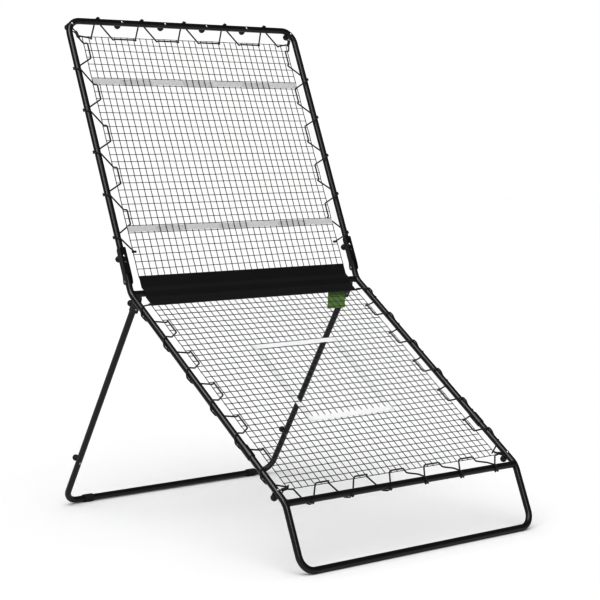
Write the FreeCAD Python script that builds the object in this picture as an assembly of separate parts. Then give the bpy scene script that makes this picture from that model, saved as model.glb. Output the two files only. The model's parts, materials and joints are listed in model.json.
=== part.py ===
import FreeCAD
import Part
import math
import os

# A pitch back: two netted frames that meet in a shallow V at a folding hinge, on a rear leg.
# Millimetres, Z up, the front faces -Y. The origin is on the floor, under the middle.

V = FreeCAD.Vector
X_AXIS = V(1, 0, 0)
Y_AXIS = V(0, 1, 0)
Z_AXIS = V(0, 0, 1)

# Frame sizes. Lengths run between tube centre lines, leans are degrees from upright.
FRAME_WIDTH = 1250.0
HINGE_HEIGHT = 975.0
UPPER_LENGTH = 1228.0
UPPER_LEAN = 21.95
LOWER_LENGTH = 1221.0
LOWER_LEAN = 54.02
FRONT_LEG_LEAN = 22.0
REAR_LEG_LEAN = 31.23
REAR_LEG_INSET = 39.0

# Tube
TUBE_DIAMETER = 26.5
TUBE_WALL = 1.5
CORNER_BEND = 62.0
FOOT_BEND = 62.0
RAIL_BEND = 80.0
SLIP_FIT = 0.1
GAP = 0.3

# Top tube joints
SPLICE_SPACING = 462.0
SPLICE_SLEEVE_LENGTH = 264.0
SPLICE_BOLT_OFFSET = 115.5
TOP_JOINT_OFFSET = 14.0

# Pegs for the lacing
TOP_END_PEG = 163.0
TOP_PEG_COUNT = 5
UPPER_PEG_START = 232.5
UPPER_PEG_END = 237.5
UPPER_PEG_COUNT = 5
LEFT_PEG_RISE = 14.0
RIGHT_PEG_DROP = 8.5
LOWER_PEG_START = 130.0
LOWER_PEG_END = 143.5
LOWER_PEG_COUNT = 6
FRONT_END_PEG = 122.0
FRONT_PEG_COUNT = 6
PEG_DIAMETER = 5.4
PEG_HEAD_DIAMETER = 8.4
PEG_REACH = 11.0
PEG_HEAD_LENGTH = 3.6

# Bolts, knobs and rivets
BOLT_DIAMETER = 6.0
BOLT_HEAD_DIAMETER = 12.0
BOLT_HEAD_HEIGHT = 3.6
BOLT_SEAT = 0.1
THREAD_FIT = 0.06
KNOB_DIAMETER = 28.0
KNOB_HUB_DIAMETER = 16.0
KNOB_HUB_LENGTH = 4.0
KNOB_BORE_DEPTH = 24.0
KNOB_GRIP_COUNT = 6
KNOB_GRIP_DIAMETER = 9.0
KNOB_GRIP_DEPTH = 2.4
RIVET_DIAMETER = 4.8
RIVET_HEAD_DIAMETER = 8.0
RIVET_HEAD_HEIGHT = 2.2

# Upper hinge: a pressed channel on each upright, pinned to a stub of the rail
CHANNEL_SHEET = 2.5
CHANNEL_BACK = 7.0
UPPER_PIVOT = 55.0
UPPER_STUB = 45.0
UPPER_EAR_RADIUS = 13.0
UPPER_WEB_START = 32.0
UPPER_CHANNEL_TOP = 201.0
UPPER_LOCK_HEIGHT = 163.0
UPPER_RIVET_HEIGHT = 137.0
TUBE_START_GAP = 1.5
PIN_DIAMETER = 6.0
PIN_HEAD_DIAMETER = 11.0
PIN_HEAD_HEIGHT = 1.5
PIN_FIT = 0.05

# Rear leg hinge, measured down the leg from the hinge line
LEG_PIVOT = 25.0
LEG_STUB = 30.0
LEG_EAR_RADIUS = 11.0
LEG_WEB_START = 14.0
LEG_CHANNEL_END = 90.0
LEG_LOCK_DEPTH = 68.0

# Joints further down
COLLAR_SETBACK = 276.0
COLLAR_LENGTH = 58.0
COLLAR_WALL = 3.2
FRONT_CORNER_BOLT = 61.0
LEG_JOINT_RISE = 250.0
LEG_SLEEVE_LENGTH = 90.0
LEG_JOINT_BOLT_DROP = 24.0
PAD_WALL = 4.0
PAD_LENGTH = 45.0
PAD_FLAT = 1.0
PAD_INSET = 121.0

# Nets, webbing and the cloth band
NET_SIDE_GAP = 59.0
NET_TOP_GAP = 71.6
NET_BOTTOM_GAP = 65.5
COLUMN_COUNT = 34
ROW_COUNT = 34
STRING_WIDTH = 2.4
STRING_THICKNESS = 1.4
WEBBING_WIDTH = 25.0
WEBBING_THICKNESS = 1.2
HIGH_STRAP_DROP = 278.3
LOW_STRAP_DROP = 946.0
TARGET_WIDTH = 432.0
TARGET_TOP = 379.5
TARGET_HEIGHT = 438.5
BAND_ABOVE = 75.0
BAND_BELOW = 76.0
BAND_THICKNESS = 1.6
BAND_FOLD = 26.0
BAND_FOLD_BEND = 14.0
TAG_WIDTH = 100.0
TAG_HEIGHT = 79.0
TAG_THICKNESS = 0.8
TAG_CENTRE = 454.0
TAG_RISE = 3.0
TAG_SETBACK = 5.0

# Elastic cord
CORD_DIAMETER = 6.0
CORD_GAP = 0.4
SIDE_RUN_LENGTH = 70.0
LOWER_RUN_LENGTH = 74.0
LOWER_RUN_LIFT = 7.5
TOP_RUN_LENGTH = 114.0
FRONT_RUNS = [(7.9, 65.0), (2.2, 66.0), (-1.0, 68.0), (-9.2, 80.0), (-13.4, 76.0)]
EDGE_INSET = 9.0
FRONT_EDGE_INSET = 5.4
CORNER_EDGE_DROP = 3.4

# How far from its peg each leg of the cord crosses the tube: in front, outside and behind
UPPER_LEFT_WRAP = (12.0, 8.2, 4.4, -3.3)
UPPER_RIGHT_WRAP = (15.0, 8.2, 4.4, -25.7)
LOWER_LEFT_WRAP = (33.0, 24.0, 5.0, -17.2)
LOWER_RIGHT_WRAP = (60.0, 50.0, 6.0, -17.2)
LOWER_END_WRAP = (42.0, 32.0, 6.0, -17.2)
FRONT_WRAP = (10.0, 8.2, 4.4, -9.0)
TOP_LEG_SPREADS = (9.0, 14.2)
WIDE_LEG_SPREAD = 22.0
NARROW_LEG_SPREAD = 9.0

# The cord's ends and its corners, out from the net's edge and along the frame
UPPER_END_RISE = 181.0
LEFT_END_INSET = 1.0
RIGHT_END_INSET = 18.0
LOWER_END_OUT = 8.0
LOWER_END_DROP = 77.0
UPPER_CORNER_OUT = 30.0
UPPER_RIGHT_CORNER_OUT = 16.0
UPPER_CORNER_DROP = 70.0
LOWER_CORNER_OUT = 22.5
LOWER_CORNER_LIFT = 64.5
CORNER_CORD_BEND = 6.0
KNOT_DIAMETER = 9.6
KNOT_LENGTH = 22.0

# Corner elastics
ELASTIC_DIAMETER = 5.0
ELASTIC_RING = 6.3
ELASTIC_KNOT_DIAMETER = 13.0
ELASTIC_KNOT_LENGTH = 20.0

# Sizes that follow from the ones above
TUBE_R = TUBE_DIAMETER / 2
RAIL_X = FRAME_WIDTH / 2
LEG_X = RAIL_X - REAR_LEG_INSET
NET_WIDTH = FRAME_WIDTH - 2 * NET_SIDE_GAP
NET_X = NET_WIDTH / 2
CORD_R = CORD_DIAMETER / 2
PAD_R = TUBE_R + PAD_WALL
REAR_BAR_HEIGHT = PAD_R - PAD_FLAT
CHANNEL_INSIDE = TUBE_R + GAP
CHANNEL_OUTSIDE = CHANNEL_INSIDE + CHANNEL_SHEET
STUB_SWEEP = math.hypot(UPPER_STUB, TUBE_R)
LEG_STUB_SWEEP = math.hypot(LEG_STUB, TUBE_R)
UPRIGHT_START = UPPER_PIVOT + STUB_SWEEP + TUBE_START_GAP
LEG_START = LEG_PIVOT + LEG_STUB_SWEEP + TUBE_START_GAP
COLUMN_PITCH = NET_WIDTH / COLUMN_COUNT
UPPER_ROW_PITCH = (UPPER_LENGTH - NET_TOP_GAP - BAND_ABOVE) / ROW_COUNT
LOWER_ROW_PITCH = (LOWER_LENGTH - NET_BOTTOM_GAP - BAND_BELOW) / ROW_COUNT
HOLE_R = BOLT_DIAMETER / 2 + SLIP_FIT
COLLAR_DEPTH = LOWER_LENGTH - COLLAR_SETBACK
FRONT_BEND_HEIGHT = HINGE_HEIGHT - LOWER_LENGTH * math.cos(math.radians(LOWER_LEAN))
FRONT_LEG_STEP = (FRONT_BEND_HEIGHT - TUBE_R) * math.tan(math.radians(FRONT_LEG_LEAN))
FRONT_REACH = LOWER_LENGTH * math.sin(math.radians(LOWER_LEAN)) + FRONT_LEG_STEP
REAR_LEG_LENGTH = (HINGE_HEIGHT - REAR_BAR_HEIGHT) / math.cos(math.radians(REAR_LEG_LEAN))
REAR_REACH = REAR_LEG_LENGTH * math.sin(math.radians(REAR_LEG_LEAN))
HINGE_Y = (FRONT_REACH + TUBE_R - REAR_REACH - PAD_R) / 2
LEG_JOINT = REAR_LEG_LENGTH - LEG_JOINT_RISE

# How far from a tube's centre line a cord round it runs, and the cord round a peg
WRAP_R = TUBE_R + CORD_R + CORD_GAP
PEG_WRAP = PEG_DIAMETER / 2 + CORD_R + CORD_GAP
WRAP_STEP = 55.0
WRAP_BEHIND = -97.5
RUN_Z = STRING_THICKNESS + CORD_R + CORD_GAP
STRING_CLEARANCE = STRING_WIDTH / 2 + CORD_R + CORD_GAP
WEBBING_CLEARANCE = WEBBING_WIDTH / 2 + CORD_R + 4 * CORD_GAP
ELASTIC_R = ELASTIC_DIAMETER / 2

parts = {}


def plane_of(lean):
    """A frame's own plane: X across, Y up along the frame from the hinge line, Z to its front."""
    return FreeCAD.Placement(V(0, HINGE_Y, HINGE_HEIGHT), FreeCAD.Rotation(X_AXIS, 90 - lean))


UPPER = plane_of(UPPER_LEAN)
LOWER = plane_of(LOWER_LEAN)
REAR = plane_of(-REAR_LEG_LEAN)


def moved(shape, plane):
    """The shape carried from a frame's own plane to its place in the whole."""
    copy = shape.copy()
    copy.Placement = plane.multiply(copy.Placement)
    return copy


def in_plane(plane, x, y, z=0.0):
    return plane.multVec(V(x, y, z))


def rounded_path(points, radii):
    """Straight runs joined by tangent arcs: one radius for each point between the ends."""
    edges = []
    start = points[0]
    for before, corner, after, radius in zip(points, points[1:], points[2:], radii):
        into = (corner - before).normalize()
        out = (after - corner).normalize()
        half_turn = into.getAngle(out) / 2
        reach = radius * math.tan(half_turn)
        inward = (out - into).normalize()
        first = corner - into * reach
        last = corner + out * reach
        middle = corner + inward * (radius / math.cos(half_turn) - radius)
        edges.append(Part.LineSegment(start, first).toShape())
        edges.append(Part.Arc(first, middle, last).toShape())
        start = last
    edges.append(Part.LineSegment(start, points[-1]).toShape())
    return Part.Wire(edges)


def bent_rod(points, radii, radius):
    """A round bar that follows the rounded path through the points."""
    section = Part.Circle(points[0], points[1] - points[0], radius).toShape()
    return rounded_path(points, radii).makePipeShell([Part.Wire([section])], True, False)


def bent_tube(points, radii):
    outside = bent_rod(points, radii, TUBE_R)
    return outside.cut(bent_rod(points, radii, TUBE_R - TUBE_WALL))


def rod(radius, start, end):
    return Part.makeCylinder(radius, (end - start).Length, start, end - start)


def plane_rod(radius, x, y, back, front):
    """A round bar along a frame plane's Z, from back to front."""
    return rod(radius, V(x, y, back), V(x, y, front))


def cross_rod(radius, x, y, half_length):
    """A round bar along X, in a frame's own plane."""
    return rod(radius, V(x - half_length, y, 0), V(x + half_length, y, 0))


def dome(radius, height, base, direction):
    """A round head: part of a ball, standing on its flat side at the base point."""
    ball = (radius ** 2 + height ** 2) / (2 * height)
    low = math.degrees(math.asin((ball - height) / ball))
    axis = V(direction).normalize()
    return Part.makeSphere(ball, base - axis * (ball - height), axis, low, 90, 360)


def drilled(shape, holes):
    return shape.cut(Part.Compound(holes))


def group(shapes):
    return Part.Compound(shapes)


def knob_bolt(x, y, seat):
    """A round-head bolt that goes back through a tube into its knob."""
    base = V(x, y, seat + BOLT_SEAT)
    tip = V(x, y, -(TUBE_R + GAP + KNOB_BORE_DEPTH - 2))
    head = dome(BOLT_HEAD_DIAMETER / 2, BOLT_HEAD_HEIGHT, base, Z_AXIS)
    return rod(BOLT_DIAMETER / 2, tip, base).fuse(head)


def knob(x, y):
    """A ball knob with grip flutes and a hub that seats against the back of the tube."""
    hub_end = -(TUBE_R + GAP)
    ball_r = KNOB_DIAMETER / 2
    centre = V(x, y, hub_end - KNOB_HUB_LENGTH - ball_r * 0.8)
    hub = rod(KNOB_HUB_DIAMETER / 2, V(x, y, hub_end), centre)
    body = Part.makeSphere(ball_r, centre).fuse(hub)
    ring = ball_r - KNOB_GRIP_DEPTH + KNOB_GRIP_DIAMETER / 2
    flute_start = centre.z + ball_r * 0.55
    cuts = []
    for index in range(KNOB_GRIP_COUNT):
        turn = 2 * math.pi * index / KNOB_GRIP_COUNT
        flute_x = x + ring * math.cos(turn)
        flute_y = y + ring * math.sin(turn)
        cuts.append(plane_rod(KNOB_GRIP_DIAMETER / 2, flute_x, flute_y, centre.z - ball_r, flute_start))
    bore_end = hub_end - KNOB_BORE_DEPTH
    cuts.append(plane_rod(BOLT_DIAMETER / 2 + THREAD_FIT, x, y, bore_end, hub_end))
    return body.cut(Part.Compound(cuts))


def peg(x, y, outward):
    """A push-in peg that stands out of a tube's wall and ends in a rounded head."""
    centre = V(x, y, 0)
    inner = centre + outward * (TUBE_R - TUBE_WALL - 1)
    neck_end = centre + outward * (TUBE_R + PEG_REACH - PEG_HEAD_LENGTH)
    shank = rod(PEG_DIAMETER / 2, inner, neck_end)
    head = dome(PEG_HEAD_DIAMETER / 2, PEG_HEAD_LENGTH, neck_end, outward)
    return shank.fuse(head)


def peg_hole(x, y, outward):
    centre = V(x, y, 0)
    return rod(PEG_DIAMETER / 2 + SLIP_FIT, centre, centre + outward * (TUBE_R + 1))


def hinge_pin(x, y):
    """A pin across a channel, headed at both ends."""
    shank = cross_rod(PIN_DIAMETER / 2, x, y, CHANNEL_OUTSIDE)
    for side in (-1, 1):
        face = V(x + side * CHANNEL_OUTSIDE, y, 0)
        end = face + X_AXIS * (side * PIN_HEAD_HEIGHT)
        shank = shank.fuse(rod(PIN_HEAD_DIAMETER / 2, face, end))
    return shank


def channel(x, pivot, end, ear_radius, web_gap, lock, rivet=None):
    """A pressed channel: web to the front, two cheeks, rounded ears round the pin."""
    way = 1 if end > pivot else -1
    web_start = pivot + way * web_gap
    outline = [
        V(0, pivot, -ear_radius),
        V(0, pivot + way * 2 * ear_radius, -CHANNEL_BACK),
        V(0, end - way * CHANNEL_BACK, -CHANNEL_BACK),
        V(0, end, 0),
        V(0, end, CHANNEL_OUTSIDE),
        V(0, web_start, CHANNEL_OUTSIDE),
        V(0, pivot, ear_radius),
        V(0, pivot, -ear_radius),
    ]
    side_view = Part.Face(Part.makePolygon(outline)).extrude(X_AXIS * (2 * CHANNEL_OUTSIDE))
    side_view.translate(V(x - CHANNEL_OUTSIDE, 0, 0))
    side_view = side_view.fuse(cross_rod(ear_radius, x, pivot, CHANNEL_OUTSIDE))
    low = min(pivot - way * ear_radius, end)
    length = abs(end - pivot) + ear_radius
    depth = CHANNEL_OUTSIDE + ear_radius
    blank = Part.makeBox(2 * CHANNEL_OUTSIDE, length, depth, V(x - CHANNEL_OUTSIDE, low, -ear_radius))
    front_edges = [edge for edge in blank.Edges
                   if edge.BoundBox.YLength > length / 2 and edge.BoundBox.ZMin > 0]
    blank = blank.makeFillet(CHANNEL_SHEET * 0.8, front_edges)
    inside = 2 * CHANNEL_INSIDE
    cavity_low = min(web_start, end)
    cavity_corner = V(x - CHANNEL_INSIDE, cavity_low, -2 * ear_radius)
    cavity_depth = CHANNEL_INSIDE + 2 * ear_radius
    cavity = Part.makeBox(inside, abs(end - web_start), cavity_depth, cavity_corner)
    slot_low = min(pivot - way * 2 * ear_radius, web_start)
    slot_length = abs(web_start - pivot) + 2 * ear_radius
    slot_corner = V(x - CHANNEL_INSIDE, slot_low, -2 * ear_radius)
    slot = Part.makeBox(inside, slot_length, 2 * depth, slot_corner)
    body = blank.common(side_view).cut(cavity).cut(slot)
    holes = [cross_rod(PIN_DIAMETER / 2 + PIN_FIT, x, pivot, CHANNEL_OUTSIDE + 1)]
    holes.append(plane_rod(HOLE_R, x, lock, 0, CHANNEL_OUTSIDE + 1))
    if rivet is not None:
        holes.append(plane_rod(RIVET_DIAMETER / 2 + SLIP_FIT, x, rivet, 0, CHANNEL_OUTSIDE + 1))
    return drilled(body, holes)


# Peg and bolt places, in each frame's own plane
TOP_PEG_SPACING = 2 * (RAIL_X - TOP_END_PEG) / (TOP_PEG_COUNT - 1)
FRONT_PEG_SPACING = 2 * (RAIL_X - FRONT_END_PEG) / (FRONT_PEG_COUNT - 1)
TOP_PEGS = [TOP_PEG_SPACING * (index - (TOP_PEG_COUNT - 1) / 2) for index in range(TOP_PEG_COUNT)]
UPPER_PEG_SPACING = (UPPER_LENGTH - UPPER_PEG_START - UPPER_PEG_END) / (UPPER_PEG_COUNT - 1)
LOWER_PEG_SPACING = (LOWER_LENGTH - LOWER_PEG_START - LOWER_PEG_END) / (LOWER_PEG_COUNT - 1)
UPPER_PEGS = [UPPER_LENGTH - UPPER_PEG_START - UPPER_PEG_SPACING * index for index in range(UPPER_PEG_COUNT)]
LEFT_PEGS = [y + LEFT_PEG_RISE for y in UPPER_PEGS]
RIGHT_PEGS = [y - RIGHT_PEG_DROP for y in UPPER_PEGS]
LOWER_PEGS = [-LOWER_PEG_START - LOWER_PEG_SPACING * index for index in range(LOWER_PEG_COUNT)]
FRONT_PEGS = [FRONT_PEG_SPACING * (index - (FRONT_PEG_COUNT - 1) / 2) for index in range(FRONT_PEG_COUNT)]
SPLICES = [-SPLICE_SPACING / 2, SPLICE_SPACING / 2]
TOP_JOINT = SPLICE_SPACING / 2 + TOP_JOINT_OFFSET
TOP_BOLTS = [splice + side * SPLICE_BOLT_OFFSET for splice in SPLICES for side in (-1, 1)]
CORNER_DIAGONAL = CORNER_BEND * (1 - math.sqrt(0.5))
UPPER_CORNER = (RAIL_X - CORNER_DIAGONAL, UPPER_LENGTH - CORNER_DIAGONAL)
FRONT_CORNER = (RAIL_X, -LOWER_LENGTH + FRONT_CORNER_BOLT)


def upper_frame():
    """Two uprights with their top corners, the centre tube and the sleeves inside the joints."""
    sleeve_r = TUBE_R - TUBE_WALL - SLIP_FIT
    for side, name, pegs in ((-1, "left", LEFT_PEGS), (1, "right", RIGHT_PEGS)):
        foot = V(side * RAIL_X, UPRIGHT_START, 0)
        corner = V(side * RAIL_X, UPPER_LENGTH, 0)
        joint = V(side * TOP_JOINT, UPPER_LENGTH, 0)
        tube = bent_tube([foot, corner, joint], [CORNER_BEND])
        holes = [peg_hole(side * RAIL_X, y, X_AXIS * side) for y in pegs]
        for x in TOP_PEGS:
            if x * side > TOP_JOINT:
                holes.append(peg_hole(x, UPPER_LENGTH, Y_AXIS))
        for x in TOP_BOLTS:
            holes.append(plane_rod(HOLE_R, x, UPPER_LENGTH, -TUBE_R - 1, TUBE_R + 1))
        corner_x, corner_y = UPPER_CORNER
        holes.append(plane_rod(HOLE_R, side * corner_x, corner_y, -TUBE_R - 1, TUBE_R + 1))
        lock = plane_rod(HOLE_R, side * RAIL_X, UPPER_LOCK_HEIGHT, -TUBE_R - 1, TUBE_R + 1)
        rivet_r = RIVET_DIAMETER / 2 + SLIP_FIT
        rivet = plane_rod(rivet_r, side * RAIL_X, UPPER_RIVET_HEIGHT, -TUBE_R - 1, TUBE_R + 1)
        parts["upright_" + name] = moved(drilled(tube, holes + [lock, rivet]), UPPER)

    centre = bent_tube([V(-TOP_JOINT, UPPER_LENGTH, 0), V(TOP_JOINT, UPPER_LENGTH, 0)], [])
    bolt_holes = [plane_rod(HOLE_R, x, UPPER_LENGTH, -TUBE_R - 1, TUBE_R + 1) for x in TOP_BOLTS]
    peg_holes = [peg_hole(x, UPPER_LENGTH, Y_AXIS) for x in TOP_PEGS]
    parts["top_centre_tube"] = moved(drilled(centre, bolt_holes + peg_holes), UPPER)

    sleeves = []
    for x in SPLICES:
        outside = cross_rod(sleeve_r, x, UPPER_LENGTH, SPLICE_SLEEVE_LENGTH / 2)
        inside = cross_rod(sleeve_r - TUBE_WALL, x, UPPER_LENGTH, SPLICE_SLEEVE_LENGTH / 2)
        sleeves.append(drilled(outside.cut(inside), bolt_holes + peg_holes))
    parts["top_splice_sleeves"] = moved(group(sleeves), UPPER)

    parts["top_pegs"] = moved(group([peg(x, UPPER_LENGTH, Y_AXIS) for x in TOP_PEGS]), UPPER)
    side_pegs = [peg(-RAIL_X, y, -X_AXIS) for y in LEFT_PEGS]
    side_pegs += [peg(RAIL_X, y, X_AXIS) for y in RIGHT_PEGS]
    parts["upright_pegs"] = moved(group(side_pegs), UPPER)


def upper_fasteners():
    """Bolts with ball knobs on the upper frame, and the hinge channels they hold."""
    parts["top_bolts"] = moved(group([knob_bolt(x, UPPER_LENGTH, TUBE_R) for x in TOP_BOLTS]), UPPER)
    for index, x in enumerate(TOP_BOLTS):
        parts["top_knob_" + str(index + 1)] = moved(knob(x, UPPER_LENGTH), UPPER)

    corner_x, corner_y = UPPER_CORNER
    corner_bolts = []
    lock_bolts = []
    pins = []
    rivets = []
    for side, name in ((-1, "left"), (1, "right")):
        corner_bolts.append(knob_bolt(side * corner_x, corner_y, TUBE_R))
        parts["upper_corner_knob_" + name] = moved(knob(side * corner_x, corner_y), UPPER)
        rail_x = side * RAIL_X
        plate = channel(rail_x, UPPER_PIVOT, UPPER_CHANNEL_TOP, UPPER_EAR_RADIUS, UPPER_WEB_START,
                        UPPER_LOCK_HEIGHT, UPPER_RIVET_HEIGHT)
        parts["hinge_channel_" + name] = moved(plate, UPPER)
        lock_bolts.append(knob_bolt(rail_x, UPPER_LOCK_HEIGHT, CHANNEL_OUTSIDE))
        parts["hinge_knob_" + name] = moved(knob(rail_x, UPPER_LOCK_HEIGHT), UPPER)
        pins.append(hinge_pin(rail_x, UPPER_PIVOT))
        back = V(rail_x, UPPER_RIVET_HEIGHT, -TUBE_R - BOLT_SEAT)
        front = V(rail_x, UPPER_RIVET_HEIGHT, CHANNEL_OUTSIDE + BOLT_SEAT)
        rivet = rod(RIVET_DIAMETER / 2, back, front)
        rivet = rivet.fuse(dome(RIVET_HEAD_DIAMETER / 2, RIVET_HEAD_HEIGHT, back, -Z_AXIS))
        rivets.append(rivet.fuse(dome(RIVET_HEAD_DIAMETER / 2, RIVET_HEAD_HEIGHT / 2, front, Z_AXIS)))
    parts["upper_corner_bolts"] = moved(group(corner_bolts), UPPER)
    parts["hinge_lock_bolts"] = moved(group(lock_bolts), UPPER)
    parts["hinge_pins"] = moved(group(pins), UPPER)
    parts["hinge_rivets"] = moved(group(rivets), UPPER)


def lower_frame():
    """Rails with their hinge stubs, the foot frame they plug into and the two cross tubes."""
    pin_holes = []
    collars = []
    for side, name in ((-1, "left"), (1, "right")):
        x = side * RAIL_X
        top = in_plane(UPPER, x, UPPER_PIVOT + UPPER_STUB)
        bend = in_plane(UPPER, x, 0)
        joint = in_plane(LOWER, x, -COLLAR_DEPTH)
        tube = bent_tube([top, bend, joint], [RAIL_BEND])
        holes = [moved(peg_hole(x, y, X_AXIS * side), LOWER) for y in LOWER_PEGS if y > -COLLAR_DEPTH]
        holes.append(moved(cross_rod(PIN_DIAMETER / 2 + PIN_FIT, x, UPPER_PIVOT, TUBE_R + 1), UPPER))
        parts["rail_" + name] = drilled(tube, holes)
        start = V(x, -COLLAR_DEPTH + COLLAR_LENGTH / 2, 0)
        end = V(x, -COLLAR_DEPTH - COLLAR_LENGTH / 2, 0)
        collar = rod(TUBE_R + SLIP_FIT + COLLAR_WALL, start, end).cut(rod(TUBE_R + SLIP_FIT, start, end))
        rims = [edge for edge in collar.Edges if abs(edge.BoundBox.XLength / 2 - TUBE_R) > COLLAR_WALL / 2
                and edge.BoundBox.YLength < 1]
        collars.append(collar.makeFillet(COLLAR_WALL / 3, rims))
    parts["rail_collars"] = moved(group(collars), LOWER)

    corners = []
    for side in (-1, 1):
        bend = in_plane(LOWER, side * RAIL_X, -LOWER_LENGTH)
        foot = bend + V(0, -FRONT_LEG_STEP, TUBE_R - bend.z)
        ends = [in_plane(LOWER, side * RAIL_X, -COLLAR_DEPTH), bend, foot]
        corners += ends if side < 0 else ends[::-1]
    bends = [RAIL_BEND, FOOT_BEND, FOOT_BEND, RAIL_BEND]
    foot_frame = bent_tube(corners, bends)
    corner_x, corner_y = FRONT_CORNER
    holes = []
    for side in (-1, 1):
        holes.append(plane_rod(HOLE_R, side * corner_x, corner_y, -TUBE_R - 1, TUBE_R + 1))
        holes += [peg_hole(side * RAIL_X, y, X_AXIS * side) for y in LOWER_PEGS if y < -COLLAR_DEPTH]
    holes = [moved(hole, LOWER) for hole in holes]
    parts["front_foot_frame"] = drilled(foot_frame, holes)

    rail_outside = bent_rod(corners, bends, TUBE_R + SLIP_FIT)
    across = [in_plane(LOWER, side * RAIL_X, -LOWER_LENGTH) for side in (-1, 1)]
    cross_tube = bent_tube(across, []).cut(rail_outside)
    cross_tube = max(cross_tube.Solids, key=lambda solid: solid.Volume)
    holes = [moved(peg_hole(x, -LOWER_LENGTH, -Y_AXIS), LOWER) for x in FRONT_PEGS]
    parts["front_cross_tube"] = drilled(cross_tube, holes)
    front_pegs = [peg(x, -LOWER_LENGTH, -Y_AXIS) for x in FRONT_PEGS]
    parts["front_cross_pegs"] = moved(group(front_pegs), LOWER)
    side_pegs = [peg(side * RAIL_X, y, X_AXIS * side) for side in (-1, 1) for y in LOWER_PEGS]
    parts["rail_pegs"] = moved(group(side_pegs), LOWER)

    rails = []
    for side in (-1, 1):
        x = side * RAIL_X
        points = [in_plane(UPPER, x, UPPER_PIVOT), in_plane(UPPER, x, 0), in_plane(LOWER, x, -COLLAR_DEPTH)]
        rails.append(bent_rod(points, [RAIL_BEND], TUBE_R + SLIP_FIT))
    hinge_tube = bent_tube([in_plane(UPPER, -RAIL_X, 0), in_plane(UPPER, RAIL_X, 0)], [])
    hinge_tube = hinge_tube.cut(Part.Compound(rails))
    parts["hinge_cross_tube"] = max(hinge_tube.Solids, key=lambda solid: solid.Volume)

    corner_bolts = [knob_bolt(side * corner_x, corner_y, TUBE_R) for side in (-1, 1)]
    parts["front_corner_bolts"] = moved(group(corner_bolts), LOWER)
    for side, name in ((-1, "left"), (1, "right")):
        parts["front_corner_knob_" + name] = moved(knob(side * corner_x, corner_y), LOWER)


def rear_leg():
    """Two leg tubes, hinged on stubs of the hinge cross tube, and the floor tube that joins them."""
    stubs = []
    pins = []
    lock_bolts = []
    foot_bolts = []
    sleeves = []
    pads = []
    lower_hole = -LEG_JOINT - LEG_JOINT_BOLT_DROP
    sleeve_r = TUBE_R - TUBE_WALL - SLIP_FIT
    for side, name in ((-1, "left"), (1, "right")):
        x = side * LEG_X
        stub = bent_tube([V(x, 0, 0), V(x, -LEG_PIVOT - LEG_STUB, 0)], [])
        stub = stub.cut(cross_rod(TUBE_R + SLIP_FIT, x, 0, 2 * TUBE_R))
        stub = min(stub.Solids, key=lambda solid: solid.BoundBox.YMin)
        stubs.append(stub.cut(cross_rod(PIN_DIAMETER / 2 + PIN_FIT, x, -LEG_PIVOT, TUBE_R + 1)))
        tube = bent_tube([V(x, -LEG_START, 0), V(x, -LEG_JOINT, 0)], [])
        lock = plane_rod(HOLE_R, x, -LEG_LOCK_DEPTH, -TUBE_R - 1, TUBE_R + 1)
        parts["leg_tube_" + name] = moved(tube.cut(lock), REAR)
        plate = channel(x, -LEG_PIVOT, -LEG_CHANNEL_END, LEG_EAR_RADIUS, LEG_WEB_START, -LEG_LOCK_DEPTH)
        parts["leg_channel_" + name] = moved(plate, REAR)
        pins.append(hinge_pin(x, -LEG_PIVOT))
        lock_bolts.append(knob_bolt(x, -LEG_LOCK_DEPTH, CHANNEL_OUTSIDE))
        parts["leg_knob_" + name] = moved(knob(x, -LEG_LOCK_DEPTH), REAR)
        start = V(x, -LEG_JOINT + LEG_SLEEVE_LENGTH / 2, 0)
        end = V(x, -LEG_JOINT - LEG_SLEEVE_LENGTH / 2, 0)
        sleeve = rod(sleeve_r, start, end).cut(rod(sleeve_r - TUBE_WALL, start, end))
        sleeves.append(sleeve.cut(plane_rod(HOLE_R, x, lower_hole, -TUBE_R, TUBE_R)))
        foot_bolts.append(knob_bolt(x, lower_hole, TUBE_R))
        parts["leg_foot_knob_" + name] = moved(knob(x, lower_hole), REAR)

        pad_x = side * (LEG_X - PAD_INSET)
        bar = V(0, HINGE_Y + REAR_REACH, REAR_BAR_HEIGHT)
        pad_start = bar + X_AXIS * (pad_x - PAD_LENGTH / 2)
        pad_end = bar + X_AXIS * (pad_x + PAD_LENGTH / 2)
        pad = rod(PAD_R, pad_start, pad_end).cut(rod(TUBE_R + SLIP_FIT, pad_start, pad_end))
        under_floor = Part.makeBox(2 * PAD_LENGTH, 4 * PAD_R, 100)
        under_floor.translate(V(pad_x - PAD_LENGTH, bar.y - 2 * PAD_R, -100))
        pads.append(pad.cut(under_floor))
    parts["leg_stubs"] = moved(group(stubs), REAR)
    parts["leg_pins"] = moved(group(pins), REAR)
    parts["leg_lock_bolts"] = moved(group(lock_bolts), REAR)
    parts["leg_foot_bolts"] = moved(group(foot_bolts), REAR)
    parts["leg_inner_sleeves"] = moved(group(sleeves), REAR)
    parts["rear_foot_pads"] = group(pads)

    points = [V(-LEG_X, -LEG_JOINT, 0), V(-LEG_X, -REAR_LEG_LENGTH, 0)]
    points += [V(LEG_X, -REAR_LEG_LENGTH, 0), V(LEG_X, -LEG_JOINT, 0)]
    foot = bent_tube(points, [FOOT_BEND, FOOT_BEND])
    holes = [plane_rod(HOLE_R, side * LEG_X, lower_hole, -TUBE_R - 1, TUBE_R + 1) for side in (-1, 1)]
    parts["rear_foot_frame"] = moved(drilled(foot, holes), REAR)


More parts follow.
